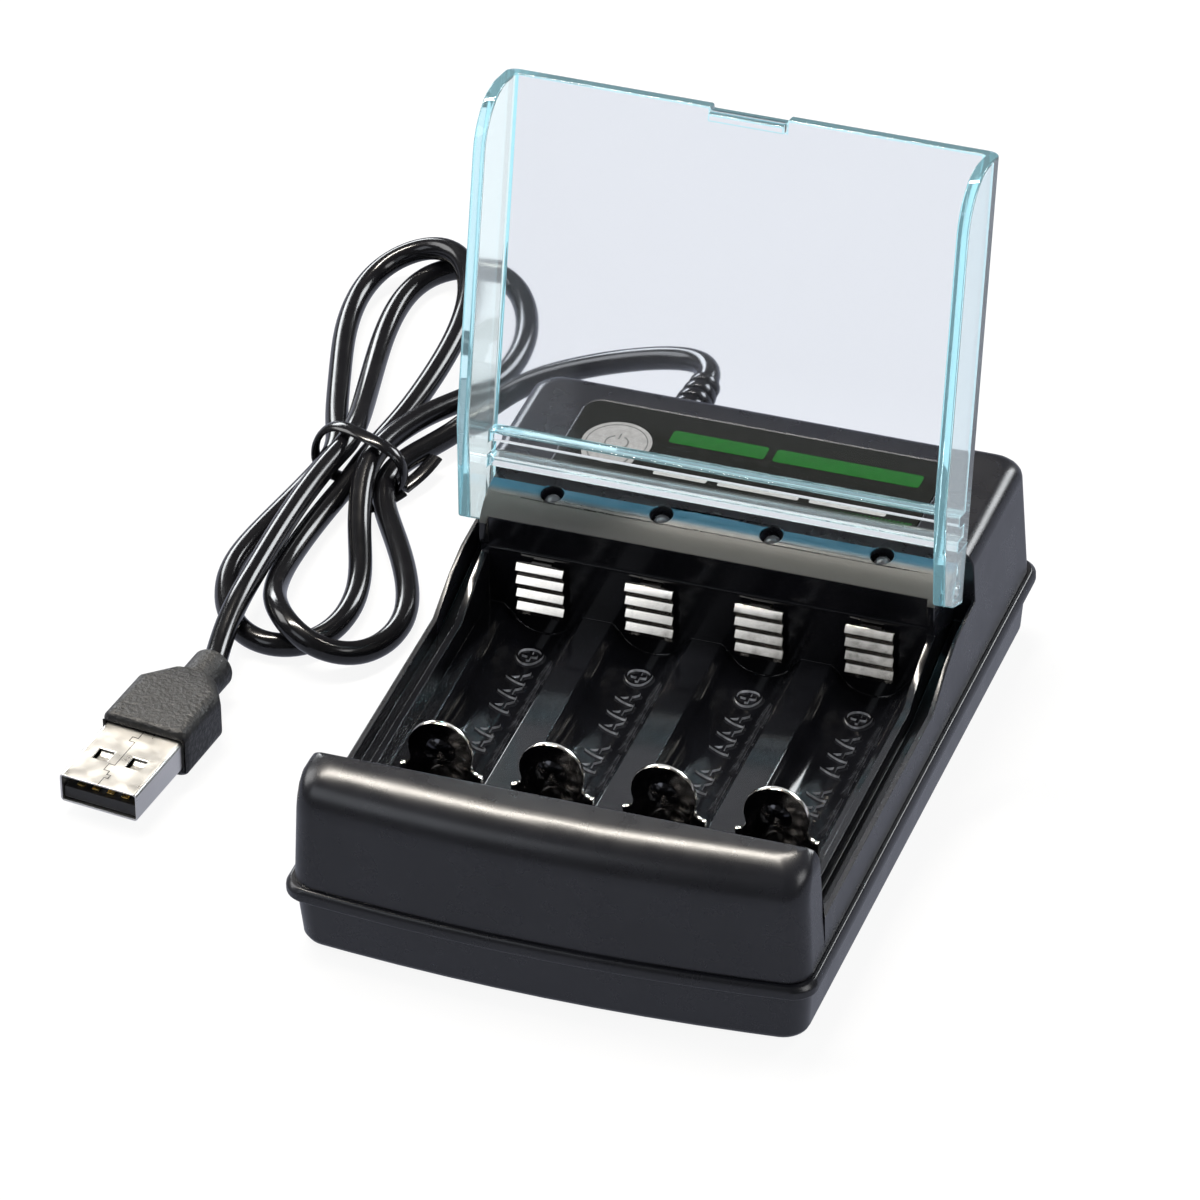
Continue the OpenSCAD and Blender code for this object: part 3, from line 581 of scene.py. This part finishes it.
def ring_points(cx, cy, inner, outer, start, end, steps):
    """Outline of a part of a ring, from one angle to another in degrees."""
    angles = [math.radians(start + (end - start) * k / steps) for k in range(steps + 1)]
    out = [(cx + outer * math.cos(a), cy + outer * math.sin(a)) for a in angles]
    back = [(cx + inner * math.cos(a), cy + inner * math.sin(a)) for a in reversed(angles)]
    return out + back


def printed(name, outlines, material, lift=PRINT_LIFT):
    """Print in one colour on the label, in millimetres."""
    bm = bmesh.new()
    for points in outlines:
        add_outline(bm, [(x * MM, y * MM) for x, y in points], LABEL_Z + lift * MM, lift * MM)
    obj = mesh_object(name, bm)
    obj.data.materials.append(material)
    return settle(obj, "case", "label_print")


def mark_mesh(word, height):
    """Flat mesh of a word, standing on its baseline, with this letter height."""
    curve = bpy.data.curves.new("mark", "FONT")
    curve.body = word
    curve.size = height / 0.7
    curve.align_x = "CENTER"
    curve.space_character = 1.15
    text = link(bpy.data.objects.new("mark", curve))
    bpy.context.view_layer.update()
    mesh = bpy.data.meshes.new_from_object(text.evaluated_get(bpy.context.evaluated_depsgraph_get()))
    bpy.data.objects.remove(text)
    return mesh


def add_mark(bm, word, height, place):
    """Adds a word that reads along Y, with its letters' tops to the left, centred at place."""
    mesh = mark_mesh(word, height)
    part = bmesh.new()
    part.from_mesh(mesh)
    bpy.data.meshes.remove(mesh)
    turn = Matrix.Translation((place[0], place[1], 0)) @ Matrix.Rotation(math.pi / 2, 4, "Z")
    part.transform(turn @ Matrix.Translation((0, -height / 2, 0)))
    copy = bpy.data.meshes.new("mark")
    part.to_mesh(copy)
    part.free()
    bm.from_mesh(copy)
    bpy.data.meshes.remove(copy)


class CHARGER_OT_stage(bpy.types.Operator):
    """Makes the floor, the world, the lamps and the camera"""

    bl_idname = "charger.stage"
    bl_label = "Stage"

    def execute(self, context):
        scene = context.scene
        scene.view_settings.view_transform = "Standard"
        self.floor()
        self.world(scene)
        self.lamp("Overhead strip", (-0.35, 0.34, 1.15), (0.85, 0.1), 24, (1.0, 0.94, 0.85))
        self.lamp("Front window", (-0.7, -0.95, 0.85), (0.7, 0.5), 2.2, (0.88, 0.93, 1.0))
        self.lamp("Left window", (-1.2, 0.1, 0.8), (0.7, 0.7), 8, (1.0, 1.0, 1.0))
        self.lamp("Right window", (1.1, -0.2, 0.9), (0.6, 0.6), 5, (1.0, 1.0, 1.0))
        self.lamp("Back right rim", (0.62, 1.15, 0.62), (0.5, 0.45), 9, (0.95, 0.98, 1.0))
        self.lamp("Back left rim", (-0.95, 1.15, 0.45), (0.5, 0.35), 6, (0.95, 0.98, 1.0))
        self.camera(scene)
        return {"FINISHED"}

    def floor(self):
        bm = bmesh.new()
        bmesh.ops.create_grid(bm, x_segments=1, y_segments=1, size=4)
        floor = mesh_object("floor", bm)
        floor.data.transform(Matrix.Translation((0, 0, -FLOOR_DROP)))
        made = bpy.data.materials.new("pale_floor")
        made.use_nodes = True
        nodes = made.node_tree.nodes
        nodes.clear()
        paper = nodes.new("ShaderNodeBsdfDiffuse")
        paper.inputs["Color"].default_value = (0.8, 0.8, 0.8, 1)
        white = nodes.new("ShaderNodeEmission")
        white.inputs["Strength"].default_value = 1.0
        grey = nodes.new("ShaderNodeEmission")
        grey.inputs["Color"].default_value = (0.8, 0.84, 1.0, 1)
        grey.inputs["Strength"].default_value = 0.54
        self.by_ray(made.node_tree, (paper, grey, white), 0.9, "ShaderNodeOutputMaterial")
        floor.data.materials.append(made)

    def world(self, scene):
        world = bpy.data.worlds.new("Studio")
        world.use_nodes = True
        scene.world = world
        nodes = world.node_tree.nodes
        nodes.clear()
        soft = nodes.new("ShaderNodeBackground")
        soft.inputs["Strength"].default_value = 0.4
        white = nodes.new("ShaderNodeBackground")
        white.inputs["Strength"].default_value = 1.0
        mirror = nodes.new("ShaderNodeBackground")
        mirror.inputs["Strength"].default_value = 0.1
        self.by_ray(world.node_tree, (soft, mirror, white), 1.0, "ShaderNodeOutputWorld")

    def by_ray(self, tree, shaders, weight, output):
        """Wires shaders for plain light, for mirrored rays, and for rays seen directly or through the lid."""
        nodes, links = tree.nodes, tree.links
        plain, mirrored, direct = shaders
        path = nodes.new("ShaderNodeLightPath")
        seen = nodes.new("ShaderNodeMath")
        seen.operation = "MAXIMUM"
        links.new(path.outputs["Is Camera Ray"], seen.inputs[0])
        links.new(path.outputs["Is Transmission Ray"], seen.inputs[1])
        share = nodes.new("ShaderNodeMath")
        share.operation = "MULTIPLY"
        share.inputs[1].default_value = weight
        links.new(seen.outputs[0], share.inputs[0])
        lit = nodes.new("ShaderNodeMixShader")
        links.new(path.outputs["Is Glossy Ray"], lit.inputs["Fac"])
        links.new(plain.outputs[0], lit.inputs[1])
        links.new(mirrored.outputs[0], lit.inputs[2])
        mixed = nodes.new("ShaderNodeMixShader")
        links.new(share.outputs[0], mixed.inputs["Fac"])
        links.new(lit.outputs[0], mixed.inputs[1])
        links.new(direct.outputs[0], mixed.inputs[2])
        out = nodes.new(output)
        links.new(mixed.outputs[0], out.inputs["Surface"])

    def lamp(self, name, place, size, power, colour):
        light = bpy.data.lights.new(name, "AREA")
        light.shape = "RECTANGLE"
        light.size, light.size_y = size
        light.energy = power
        light.color = colour
        obj = link(bpy.data.objects.new(name, light))
        obj.location = place
        aim = LAMP_AIM - Vector(place)
        obj.rotation_euler = aim.to_track_quat("-Z", "Y").to_euler()

    def camera(self, scene):
        across = math.cos(CAMERA_ELEVATION)
        sine, cosine = math.sin(CAMERA_AZIMUTH), math.cos(CAMERA_AZIMUTH)
        back = Vector((sine * across, -cosine * across, math.sin(CAMERA_ELEVATION)))
        level = Vector((cosine, sine, 0))
        above = back.cross(level)
        right = math.cos(CAMERA_ROLL) * level + math.sin(CAMERA_ROLL) * above
        up = math.cos(CAMERA_ROLL) * above - math.sin(CAMERA_ROLL) * level
        camera = bpy.data.cameras.new("Camera")
        camera.sensor_width = 36
        camera.lens = CAMERA_LENS
        camera.clip_end = 50
        obj = link(bpy.data.objects.new("Camera", camera))
        turn = Matrix((right, up, back)).transposed().to_4x4()
        obj.matrix_world = Matrix.Translation(CAMERA_PLACE) @ turn
        scene.camera = obj


class CHARGER_OT_case(bpy.types.Operator):
    """Finishes the lower and the upper case"""

    bl_idname = "charger.case"
    bl_label = "Case"

    def execute(self, context):
        satin = satin_black()
        polished = polished_black()
        for node in ("lower_case", "upper_case"):
            obj = rounded(node_copy(node, node + "_moulded"), sizes().edge_round)
            obj.data.materials.append(satin)
            settle(obj, "case", "case_black", node)
            if node == "upper_case":
                obj.data.materials.append(polished)
                obj.data.materials.append(strip_painted_sheen())
                self.polish_bays(obj)
        self.wall_line(polished)
        return {"FINISHED"}

    def polish_bays(self, obj):
        """Gives the bays and the lid's grooves the polished finish, and the top of the strip over the hinge
        its painted sheen and painted reflection of the lid's blue.
        """
        for face in obj.data.polygons:
            x, y, z = face.center / MM
            inside = abs(x) < 35.65 and -41.95 < y < 17.5 and 6.9 < z < 25
            strip = abs(x) < 33.2 and 16.6 < y < 23.3 and 22.2 < z < 29.2
            # Upward faces of the strip take the painted sheen and painted reflection; its front face stays
            # polished black
            if strip and face.normal.z > 0.2:
                face.material_index = 2
            elif inside and not (abs(x) > 35.5 and z > 15.3):
                face.material_index = 1

    def wall_line(self, material):
        """Fine moulded line across the rear wall, under the strip's step."""
        bm = bmesh.new()
        bmesh.ops.create_cube(bm, size=1)
        place = Vector((0, 17.4, 21.3)) * MM
        spread = Matrix.Diagonal((0.0636, 0.0006, 0.0004, 1))
        bm.transform(Matrix.Translation(place) @ spread)
        obj = rounded(mesh_object("rear_wall_line", bm), 0.00012)
        obj.data.materials.append(material)
        settle(obj, "case", "case_black")


class CHARGER_OT_lid(bpy.types.Operator):
    """Finishes the clear lid"""

    bl_idname = "charger.lid"
    bl_label = "Lid"

    def execute(self, context):
        tints = colours()
        obj = rounded(node_copy("lid", "lid_clear"), sizes().lid_round, 3)
        panel = clear_plastic("clear_panel", tints.lid_panel, 1.0, 0.15)
        # The panel's haze is a painted sheen, a pale veil standing for reflected light
        obj.data.materials.append(add_haze_painted_veil(panel, 1.0, 0.965))
        # The edges and walls glow in their tints: painted glow for the light caught in the clear plastic
        obj.data.materials.append(clear_plastic("clear_edge_painted_glow", tints.lid_edge_and_painted_glow, 0.92, 1.0, 0.1))
        obj.data.materials.append(clear_plastic("clear_wall_painted_glow", tints.lid_wall_and_painted_glow, 0.98, 0.5, 0.04))
        outward = Vector((0, math.cos(LID_TILT), -math.sin(LID_TILT)))
        for face in obj.data.polygons:
            middle = abs(face.center.x) < 33 * MM
            if abs(face.normal.dot(outward)) > 0.97 and middle:
                face.material_index = 0
            elif abs(face.normal.x) > 0.95 or (middle and face.center.z < 36 * MM):
                face.material_index = 2
            else:
                face.material_index = 1
        settle(obj, "lid", "lid_clear", "lid")
        return {"FINISHED"}


class CHARGER_OT_label(bpy.types.Operator):
    """Finishes the label and prints its plain fields"""

    bl_idname = "charger.label"
    bl_label = "Label"

    def execute(self, context):
        tints = colours()
        ground = print_ink("label_ground", tints.label, Specular_IOR_Level=0.12)
        obj = shade(node_copy("label", "label_film"), 30)
        obj.data.materials.append(ground)
        settle(obj, "case", "label_print", "label")
        green = print_ink("print_green", tints.print_green, Specular_IOR_Level=0.15)
        pale = print_ink("print_pale", tints.print_pale, Specular_IOR_Level=0.15)
        silver = print_ink("print_silver", (0.23, 0.227, 0.217), Specular_IOR_Level=0.15)
        dark = print_ink("print_grey", (0.1, 0.1, 0.095), Specular_IOR_Level=0.15)
        self.badge(silver, dark)
        heading = ((-12.6, 1.4), (2.6, 24.0))
        printed("print_heading", [bar_points(a, 38.9, b, 41.9, 0.5) for a, b in heading], green)
        lines = (
            ((-12.4, -3.2), (-1.6, 3.4), (5.2, 9.6), (11.2, 14.4), (16.0, 23.8)),
            ((-12.2, -4.4), (-2.8, 9.0), (10.6, 21.7)),
        )
        bars = [bar_points(a, 34.5, b, 35.5, 0.3) for a, b in lines[0]]
        bars += [bar_points(a, 30.9, b, 31.9, 0.3) for a, b in lines[1]]
        printed("print_lines", bars, pale)
        dots = dots_tree(green).run(empty_object("print_dots"), {
            "Width": 13.6 * MM, "Depth": 2.6 * MM, "Columns": 24, "Rows": 6,
            "Place": (18.8 * MM, 28.9 * MM, LABEL_Z + PRINT_LIFT * MM),
        })
        settle(dots, "case", "label_print")
        return {"FINISHED"}

    def badge(self, silver, dark):
        """Round printed field with a ring and a power sign."""
        cx, cy = -19.4, 36.6
        printed("print_disc", [ring_points(cx, cy, 0.01, 5.0, 0, 359.9, 64)], silver)
        rings = [
            ring_points(cx, cy, 4.25, 4.42, 0, 359.9, 64),
            ring_points(cx, cy, 1.5, 1.75, 115, 425, 32),
            bar_points(cx - 0.12, cy + 0.9, cx + 0.12, cy + 2.2, 0.1),
        ]
        printed("print_badge_lines", rings, dark, 0.045)


class CHARGER_OT_contacts(bpy.types.Operator):
    """Finishes the rear contacts and slider plates and winds the springs"""

    bl_idname = "charger.contacts"
    bl_label = "Contacts"

    def execute(self, context):
        nickel = plated("bright_nickel", colours().nickel, 0.12, 0.2)
        # Dark copy of the nickel for the plates' faces: painted shade for the dark bay they mirror
        mirror = plated("nickel_painted_shade", colours().plate, 0.1, 0.16)
        wire = plated("spring_wire", shift(colours().nickel, 0.85), 0.2, 0.32)
        tree = spring_tree(wire)
        for bay in BAYS:
            rear = rounded(node_copy(f"rear_contact_{bay}", f"rear_contact_{bay}_folded"), 0.00008)
            rear.data.materials.append(nickel)
            settle(rear, "case", "nickel", f"rear_contact_{bay}")
            plate = rounded(node_copy(f"slider_contact_{bay}", f"slider_plate_{bay}"), 0.00012, even=False)
            self.part_flats(shade(plate, 30))
            plate.data.materials.append(mirror)
            plate.data.materials.append(nickel)
            self.painted_rim_highlight(plate)
            settle(plate, f"slider_{bay}", "nickel", f"slider_contact_{bay}")
            self.spring(bay, tree)
        return {"FINISHED"}

    def part_flats(self, plate):
        """Keeps the shading of a plate's flat faces apart from that of its dome and edges."""
        bm = bmesh.new()
        bm.from_mesh(plate.data)
        for edge in bm.edges:
            flat = [abs(face.normal.y) > 0.9995 for face in edge.link_faces]
            if any(flat) and not all(flat):
                edge.smooth = False
        bm.to_mesh(plate.data)
        bm.free()

    def painted_rim_highlight(self, plate):
        """Gives the cut edge of a slider plate a painted highlight, the bright copy of the nickel, while the
        plate's faces keep the dark copy as painted shade.
        """
        middle = sum((v.co.x for v in plate.data.vertices)) / len(plate.data.vertices)
        for face in plate.data.polygons:
            x, z = (face.center.x - middle) / MM, face.center.z / MM
            edge = abs(face.normal.y) < 0.85
            dome = abs(x) < 2.6 and z < 21
            if edge and not dome:
                face.material_index = 1

    def spring(self, bay, tree):
        """Winds one slider spring."""
        low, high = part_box(f"slider_spring_{bay}")
        wire = sizes().spring_wire
        middle = (low + high) / 2
        obj = tree.run(empty_object(f"slider_coil_{bay}"), {
            "Turns": sizes().spring_turns, "Radius": (high.x - low.x - wire) / 2, "Wire": wire / 2,
            "Length": high.y - low.y - wire, "Place": (middle.x, low.y + wire / 2, middle.z),
        })
        settle(obj, "case", "nickel", f"slider_spring_{bay}")
        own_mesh(obj)


class CHARGER_OT_lamps(bpy.types.Operator):
    """Finishes the indicator lamps"""

    bl_idname = "charger.lamps"
    bl_label = "Lamps"

    def execute(self, context):
        resin = finish_of("smoky_resin", (0.08, 0.08, 0.09), 0.06, IOR=1.55, Coat_Weight=0.8)
        vary_colour(resin, 700, (0.06, 0.06, 0.066), (0.14, 0.14, 0.15))
        vary_roughness(resin, 900, 0.04, 0.1)
        for bay in BAYS:
            obj = shade(node_copy(f"led_{bay}", f"lamp_{bay}"), 40)
            obj.data.materials.append(resin)
            settle(obj, "case", "lamp_clear", f"led_{bay}")
        return {"FINISHED"}


class CHARGER_OT_inside(bpy.types.Operator):
    """Finishes the board, its parts and the screws"""

    bl_idname = "charger.inside"
    bl_label = "Inside"

    def execute(self, context):
        mask = finish_of("solder_mask", (0.02, 0.12, 0.045), 0.35)
        vary_colour(mask, 400, (0.016, 0.1, 0.04), (0.024, 0.14, 0.05))
        add_grain(mask, 900, 0.00001)
        chip = finish_of("chip_black", (0.02, 0.02, 0.022), 0.5)
        vary_roughness(chip, 900, 0.45, 0.6)
        steel = plated("screw_steel", (0.56, 0.55, 0.53), 0.25, 0.4)
        finishes = {
            "main_board": (mask, "board_green"), "control_chip": (chip, "chip_black"),
            "capacitor": (chip, "chip_black"), "case_screws": (steel, "nickel"),
        }
        for node, (material, slot) in finishes.items():
            obj = rounded(node_copy(node, node + "_fitted"), 0.0001)
            obj.data.materials.append(material)
            settle(obj, "case", slot, node)
        return {"FINISHED"}


class CHARGER_OT_marks(bpy.types.Operator):
    """Raises the size marks and polarity signs in the bays"""

    bl_idname = "charger.marks"
    bl_label = "Marks"

    def execute(self, context):
        polished = bpy.data.materials["polished_black"]
        colour = colours().mark
        # The sides of the marks are black moulding; their pale colour is a painted glint for the light their
        # edges catch
        pale = finish_of("mark_painted_glint", colour, 0.2)
        vary_colour(pale, 900, shift(colour, 0.6), shift(colour, 1.4))
        for bay in BAYS:
            low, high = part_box(f"rear_contact_{bay}")
            x = (low.x + high.x) / 2
            bm = bmesh.new()
            add_mark(bm, "AAA", 3.2 * MM, (x, 2.6 * MM))
            add_mark(bm, "AA", 3.2 * MM, (x, -8.4 * MM))
            self.sign(bm, x, 11.4 * MM)
            obj = self.wrap(bm, x, f"bay_marks_{bay}")
            obj.data.materials.append(polished)
            obj.data.materials.append(pale)
            # Tops keep the polished black, sides take the painted glint
            for face in obj.data.polygons:
                face.material_index = 0 if face.normal.z > 0.7 else 1
            settle(obj, "case", "case_black")
        return {"FINISHED"}

    def sign(self, bm, x, y):
        """Plus in a ring."""
        arm, half = 1.1 * MM, 0.22 * MM
        cross = [
            (-half, -arm), (half, -arm), (half, -half), (arm, -half), (arm, half), (half, half),
            (half, arm), (-half, arm), (-half, half), (-arm, half), (-arm, -half), (-half, -half),
        ]
        bm.faces.new([bm.verts.new((x + a, y + b, 0)) for a, b in cross])
        for start in (0, 180):
            points = ring_points(x, y, 1.6 * MM, 1.95 * MM, start, start + 180, 16)
            bm.faces.new([bm.verts.new((a, b, 0)) for a, b in points])

    def wrap(self, bm, x, name):
        """Lays the flat marks on the small trough and gives them their height."""
        step = 0.4 * MM
        for k in range(-5, 6):
            everything = bm.verts[:] + bm.edges[:] + bm.faces[:]
            bmesh.ops.bisect_plane(bm, geom=everything, plane_co=(x + k * step, 0, 0), plane_no=(1, 0, 0))
        bmesh.ops.recalc_face_normals(bm, faces=bm.faces)
        for face in bm.faces:
            if face.normal.z < 0:
                face.normal_flip()
        grown = bmesh.ops.extrude_face_region(bm, geom=bm.faces[:])
        top = {v for v in grown["geom"] if isinstance(v, bmesh.types.BMVert)}
        sunk = -0.1 * MM
        for v in bm.verts:
            height = sizes().mark_height if v in top else sunk
            v.co.z = TROUGH_AXIS_Z - math.sqrt(TROUGH_RADIUS ** 2 - (v.co.x - x) ** 2) + height
        bmesh.ops.recalc_face_normals(bm, faces=bm.faces)
        return shade(mesh_object(name, bm), 40)


class CHARGER_OT_cord(bpy.types.Operator):
    """Lays the cord with its strain relief and tie"""

    bl_idname = "charger.cord"
    bl_label = "Cord"

    def execute(self, context):
        sheath = sheath_black()
        points = self.spline([Vector(p) * MM for p in CORD_ROUTE])
        shape = {"Radius": sizes().cord_width / 2, "Sides": 20}
        cord = tube_tree(sheath).run(self.line("cord_sheath", points), shape)
        settle(cord, "case", "cord_black", "cord_lead", "cord_hank", "cord_tail")
        relief = rounded(node_copy("strain_relief", "strain_relief_moulded"), 0.00015)
        relief.data.materials.append(sheath)
        settle(relief, "case", "cord_black", "strain_relief")
        tie = self.tie(sheath)
        return {"FINISHED"}

    def spline(self, route, per_span=6):
        """Points on the smooth curve of these control points, held at both ends."""
        held = [2 * route[0] - route[1], *route, 2 * route[-1] - route[-2]]
        points = []
        for k in range(len(held) - 3):
            a, b, c, d = held[k:k + 4]
            for n in range(per_span):
                t = n / per_span
                points.append((
                    a * (1 - t) ** 3 + b * (3 * t ** 3 - 6 * t ** 2 + 4)
                    + c * (-3 * t ** 3 + 3 * t ** 2 + 3 * t + 1) + d * t ** 3) / 6)
        points.append(route[-1])
        return points

    def line(self, name, points):
        """Curve object through these points."""
        curve = bpy.data.curves.new(name, "CURVE")
        curve.dimensions = "3D"
        run = curve.splines.new("POLY")
        run.points.add(len(points) - 1)
        for target, point in zip(run.points, points):
            target.co = (*point, 1)
        return link(bpy.data.objects.new(name, curve))

    def tie(self, material):
        """Flat tie round the neck of the hank, with two loose ends."""
        bm = bmesh.new()
        loop = [Vector(p) * MM for p in TIE_ROUND]
        self.ribbon(bm, self.spline(loop[-2:] + loop + loop[:3])[6:-12], Vector((0, 1, 0)))
        for end in TIE_ENDS:
            self.ribbon(bm, self.spline([Vector(p) * MM for p in end]), Vector((0, 0, 1)), True)
        bmesh.ops.recalc_face_normals(bm, faces=bm.faces)
        obj = shade(mesh_object("cord_tie_band", bm), 60)
        obj.data.materials.append(material)
        return settle(obj, "case", "cord_black", "cord_tie")

    def ribbon(self, bm, points, side, flat=False):
        """Flat band along the points, wide along side or, when it lies flat, across it."""
        half_w, half_t, sides = 1.2 * MM, 0.5 * MM, 12
        rings = []
        for k, point in enumerate(points):
            ahead = (points[min(k + 1, len(points) - 1)] - points[max(k - 1, 0)]).normalized()
            wide = (side - ahead * side.dot(ahead)).normalized()
            thin = ahead.cross(wide)
            if flat:
                wide, thin = thin, wide
            ring = []
            for n in range(sides):
                a = 2 * math.pi * n / sides
                ring.append(bm.verts.new(point + wide * half_w * math.cos(a) + thin * half_t * math.sin(a)))
            rings.append(ring)
        for first, second in zip(rings, rings[1:]):
            for n in range(sides):
                m = (n + 1) % sides
                bm.faces.new((first[n], first[m], second[m], second[n]))
        bm.faces.new(list(reversed(rings[0])))
        bm.faces.new(rings[-1])


class CHARGER_OT_plug(bpy.types.Operator):
    """Finishes the plug's grip, shell, tongue and contacts"""

    bl_idname = "charger.plug"
    bl_label = "Plug"

    def execute(self, context):
        tints = colours()
        grained = finish_of("grained_black", tints.grip, 0.5)
        vary_colour(grained, 900, shift(tints.grip, 0.7), shift(tints.grip, 1.8))
        vary_roughness(grained, 1400, 0.38, 0.6)
        add_grain(grained, 1700, 0.00022, 3.0)
        satin = plated("satin_nickel", tints.shell, 0.26, 0.4, scale=300)
        dark = finish_of("tongue_dark", (0.012, 0.012, 0.013), 0.45)
        vary_roughness(dark, 900, 0.4, 0.55)
        gold = plated("gold_plate", (0.78, 0.55, 0.2), 0.2, 0.3)
        looks = {
            "plug_grip": (grained, "grip_black", 0.0004), "plug_shell": (satin, "shell_steel", 0.0001),
            "plug_tongue": (dark, "tongue_dark", 0.0001), "plug_pins": (gold, "pin_gold", 0.00005),
        }
        for node, (material, slot, width) in looks.items():
            obj = rounded(node_copy(node, node + "_made"), width)
            obj.data.materials.append(material)
            settle(obj, "case", slot, node)
        self.seam(dark)
        self.tabs(satin)
        return {"FINISHED"}

    def placed(self, name, bm, material, slot):
        """Puts a piece drawn in the plug's own frame, in millimetres, where the plug lies."""
        obj = mesh_object(name, bm)
        turn = Matrix.Translation(PLUG_JOINT) @ Matrix.Rotation(PLUG_TURN, 4, "Z") @ Matrix.Scale(MM, 4)
        obj.data.transform(turn)
        obj.data.materials.append(material)
        return settle(obj, "case", slot)

    def seam(self, material):
        """Joint line of the folded shell, with its locking keys."""
        half = 0.06
        runs = (
            ((0, -0.1), (0, -1.5), (-0.9, -1.5), (-0.9, -2.5), (0, -2.5), (0, -8.3)),
            ((0, -8.3), (-0.9, -8.3), (-0.9, -9.8), (0, -9.8), (0, -10.6), (0.6, -10.6)),
            ((0.6, -10.6), (0.6, -11.4), (0, -11.4), (0, -13.1)),
        )
        bm = bmesh.new()
        for run in runs:
            for (x0, y0), (x1, y1) in zip(run, run[1:]):
                low = (min(x0, x1) - half, min(y0, y1) - half)
                high = (max(x0, x1) + half, max(y0, y1) + half)
                corners = [low, (high[0], low[1]), high, (low[0], high[1])]
                add_outline(bm, corners, SHELL_TOP_Z, 0.03)
        self.placed("plug_seam", bm, material, "tongue_dark")

    def tabs(self, material):
        """Spring tabs bent in from the shell's two upper windows."""
        bm = bmesh.new()
        profile = ((-7.95, 1.55), (-6.2, 1.35), (-5.5, 1.75))
        sheet = Vector((0, 0, 0.25))
        for x in (-2.6, 2.6):
            for (y0, z0), (y1, z1) in zip(profile, profile[1:]):
                corners = ((x - 1, y0, z0), (x + 1, y0, z0), (x + 1, y1, z1), (x - 1, y1, z1))
                top = [bm.verts.new(p) for p in corners]
                bottom = [bm.verts.new(v.co - sheet) for v in top]
                bm.faces.new(top)
                bm.faces.new(list(reversed(bottom)))
                for n in range(4):
                    m = (n + 1) % 4
                    bm.faces.new((top[n], bottom[n], bottom[m], top[m]))
        bmesh.ops.recalc_face_normals(bm, faces=bm.faces)
        self.placed("plug_tabs", bm, material, "shell_steel")


class VIEW3D_PT_charger(bpy.types.Panel):
    """Lists the steps that build the charger"""

    bl_idname = "VIEW3D_PT_charger"
    bl_label = "Charger"
    bl_space_type = "VIEW_3D"
    bl_region_type = "UI"
    bl_category = "Charger"

    def draw(self, context):
        for step in STEPS:
            self.layout.operator(step.bl_idname)
        for group in (context.scene.charger_sizes, context.scene.charger_colours):
            box = self.layout.box()
            for key in group.__annotations__:
                box.prop(group, key)


STEPS = (
    CHARGER_OT_stage, CHARGER_OT_case, CHARGER_OT_marks, CHARGER_OT_lid, CHARGER_OT_label,
    CHARGER_OT_contacts, CHARGER_OT_lamps, CHARGER_OT_inside, CHARGER_OT_plug, CHARGER_OT_cord,
)
CLASSES = (ChargerSizes, ChargerColours, *STEPS, VIEW3D_PT_charger)


def register():
    for item in CLASSES:
        bpy.utils.register_class(item)
    bpy.types.Scene.charger_sizes = bpy.props.PointerProperty(type=ChargerSizes)
    bpy.types.Scene.charger_colours = bpy.props.PointerProperty(type=ChargerColours)


def unregister():
    del bpy.types.Scene.charger_colours
    del bpy.types.Scene.charger_sizes
    for item in reversed(CLASSES):
        bpy.utils.unregister_class(item)


def main():
    """Registers the classes and builds every piece in order."""
    register()
    bpy.ops.charger.stage()
    bpy.ops.charger.case()
    bpy.ops.charger.marks()
    bpy.ops.charger.lid()
    bpy.ops.charger.label()
    bpy.ops.charger.contacts()
    bpy.ops.charger.lamps()
    bpy.ops.charger.inside()
    bpy.ops.charger.plug()
    bpy.ops.charger.cord()


if __name__ == "__main__":
    main()
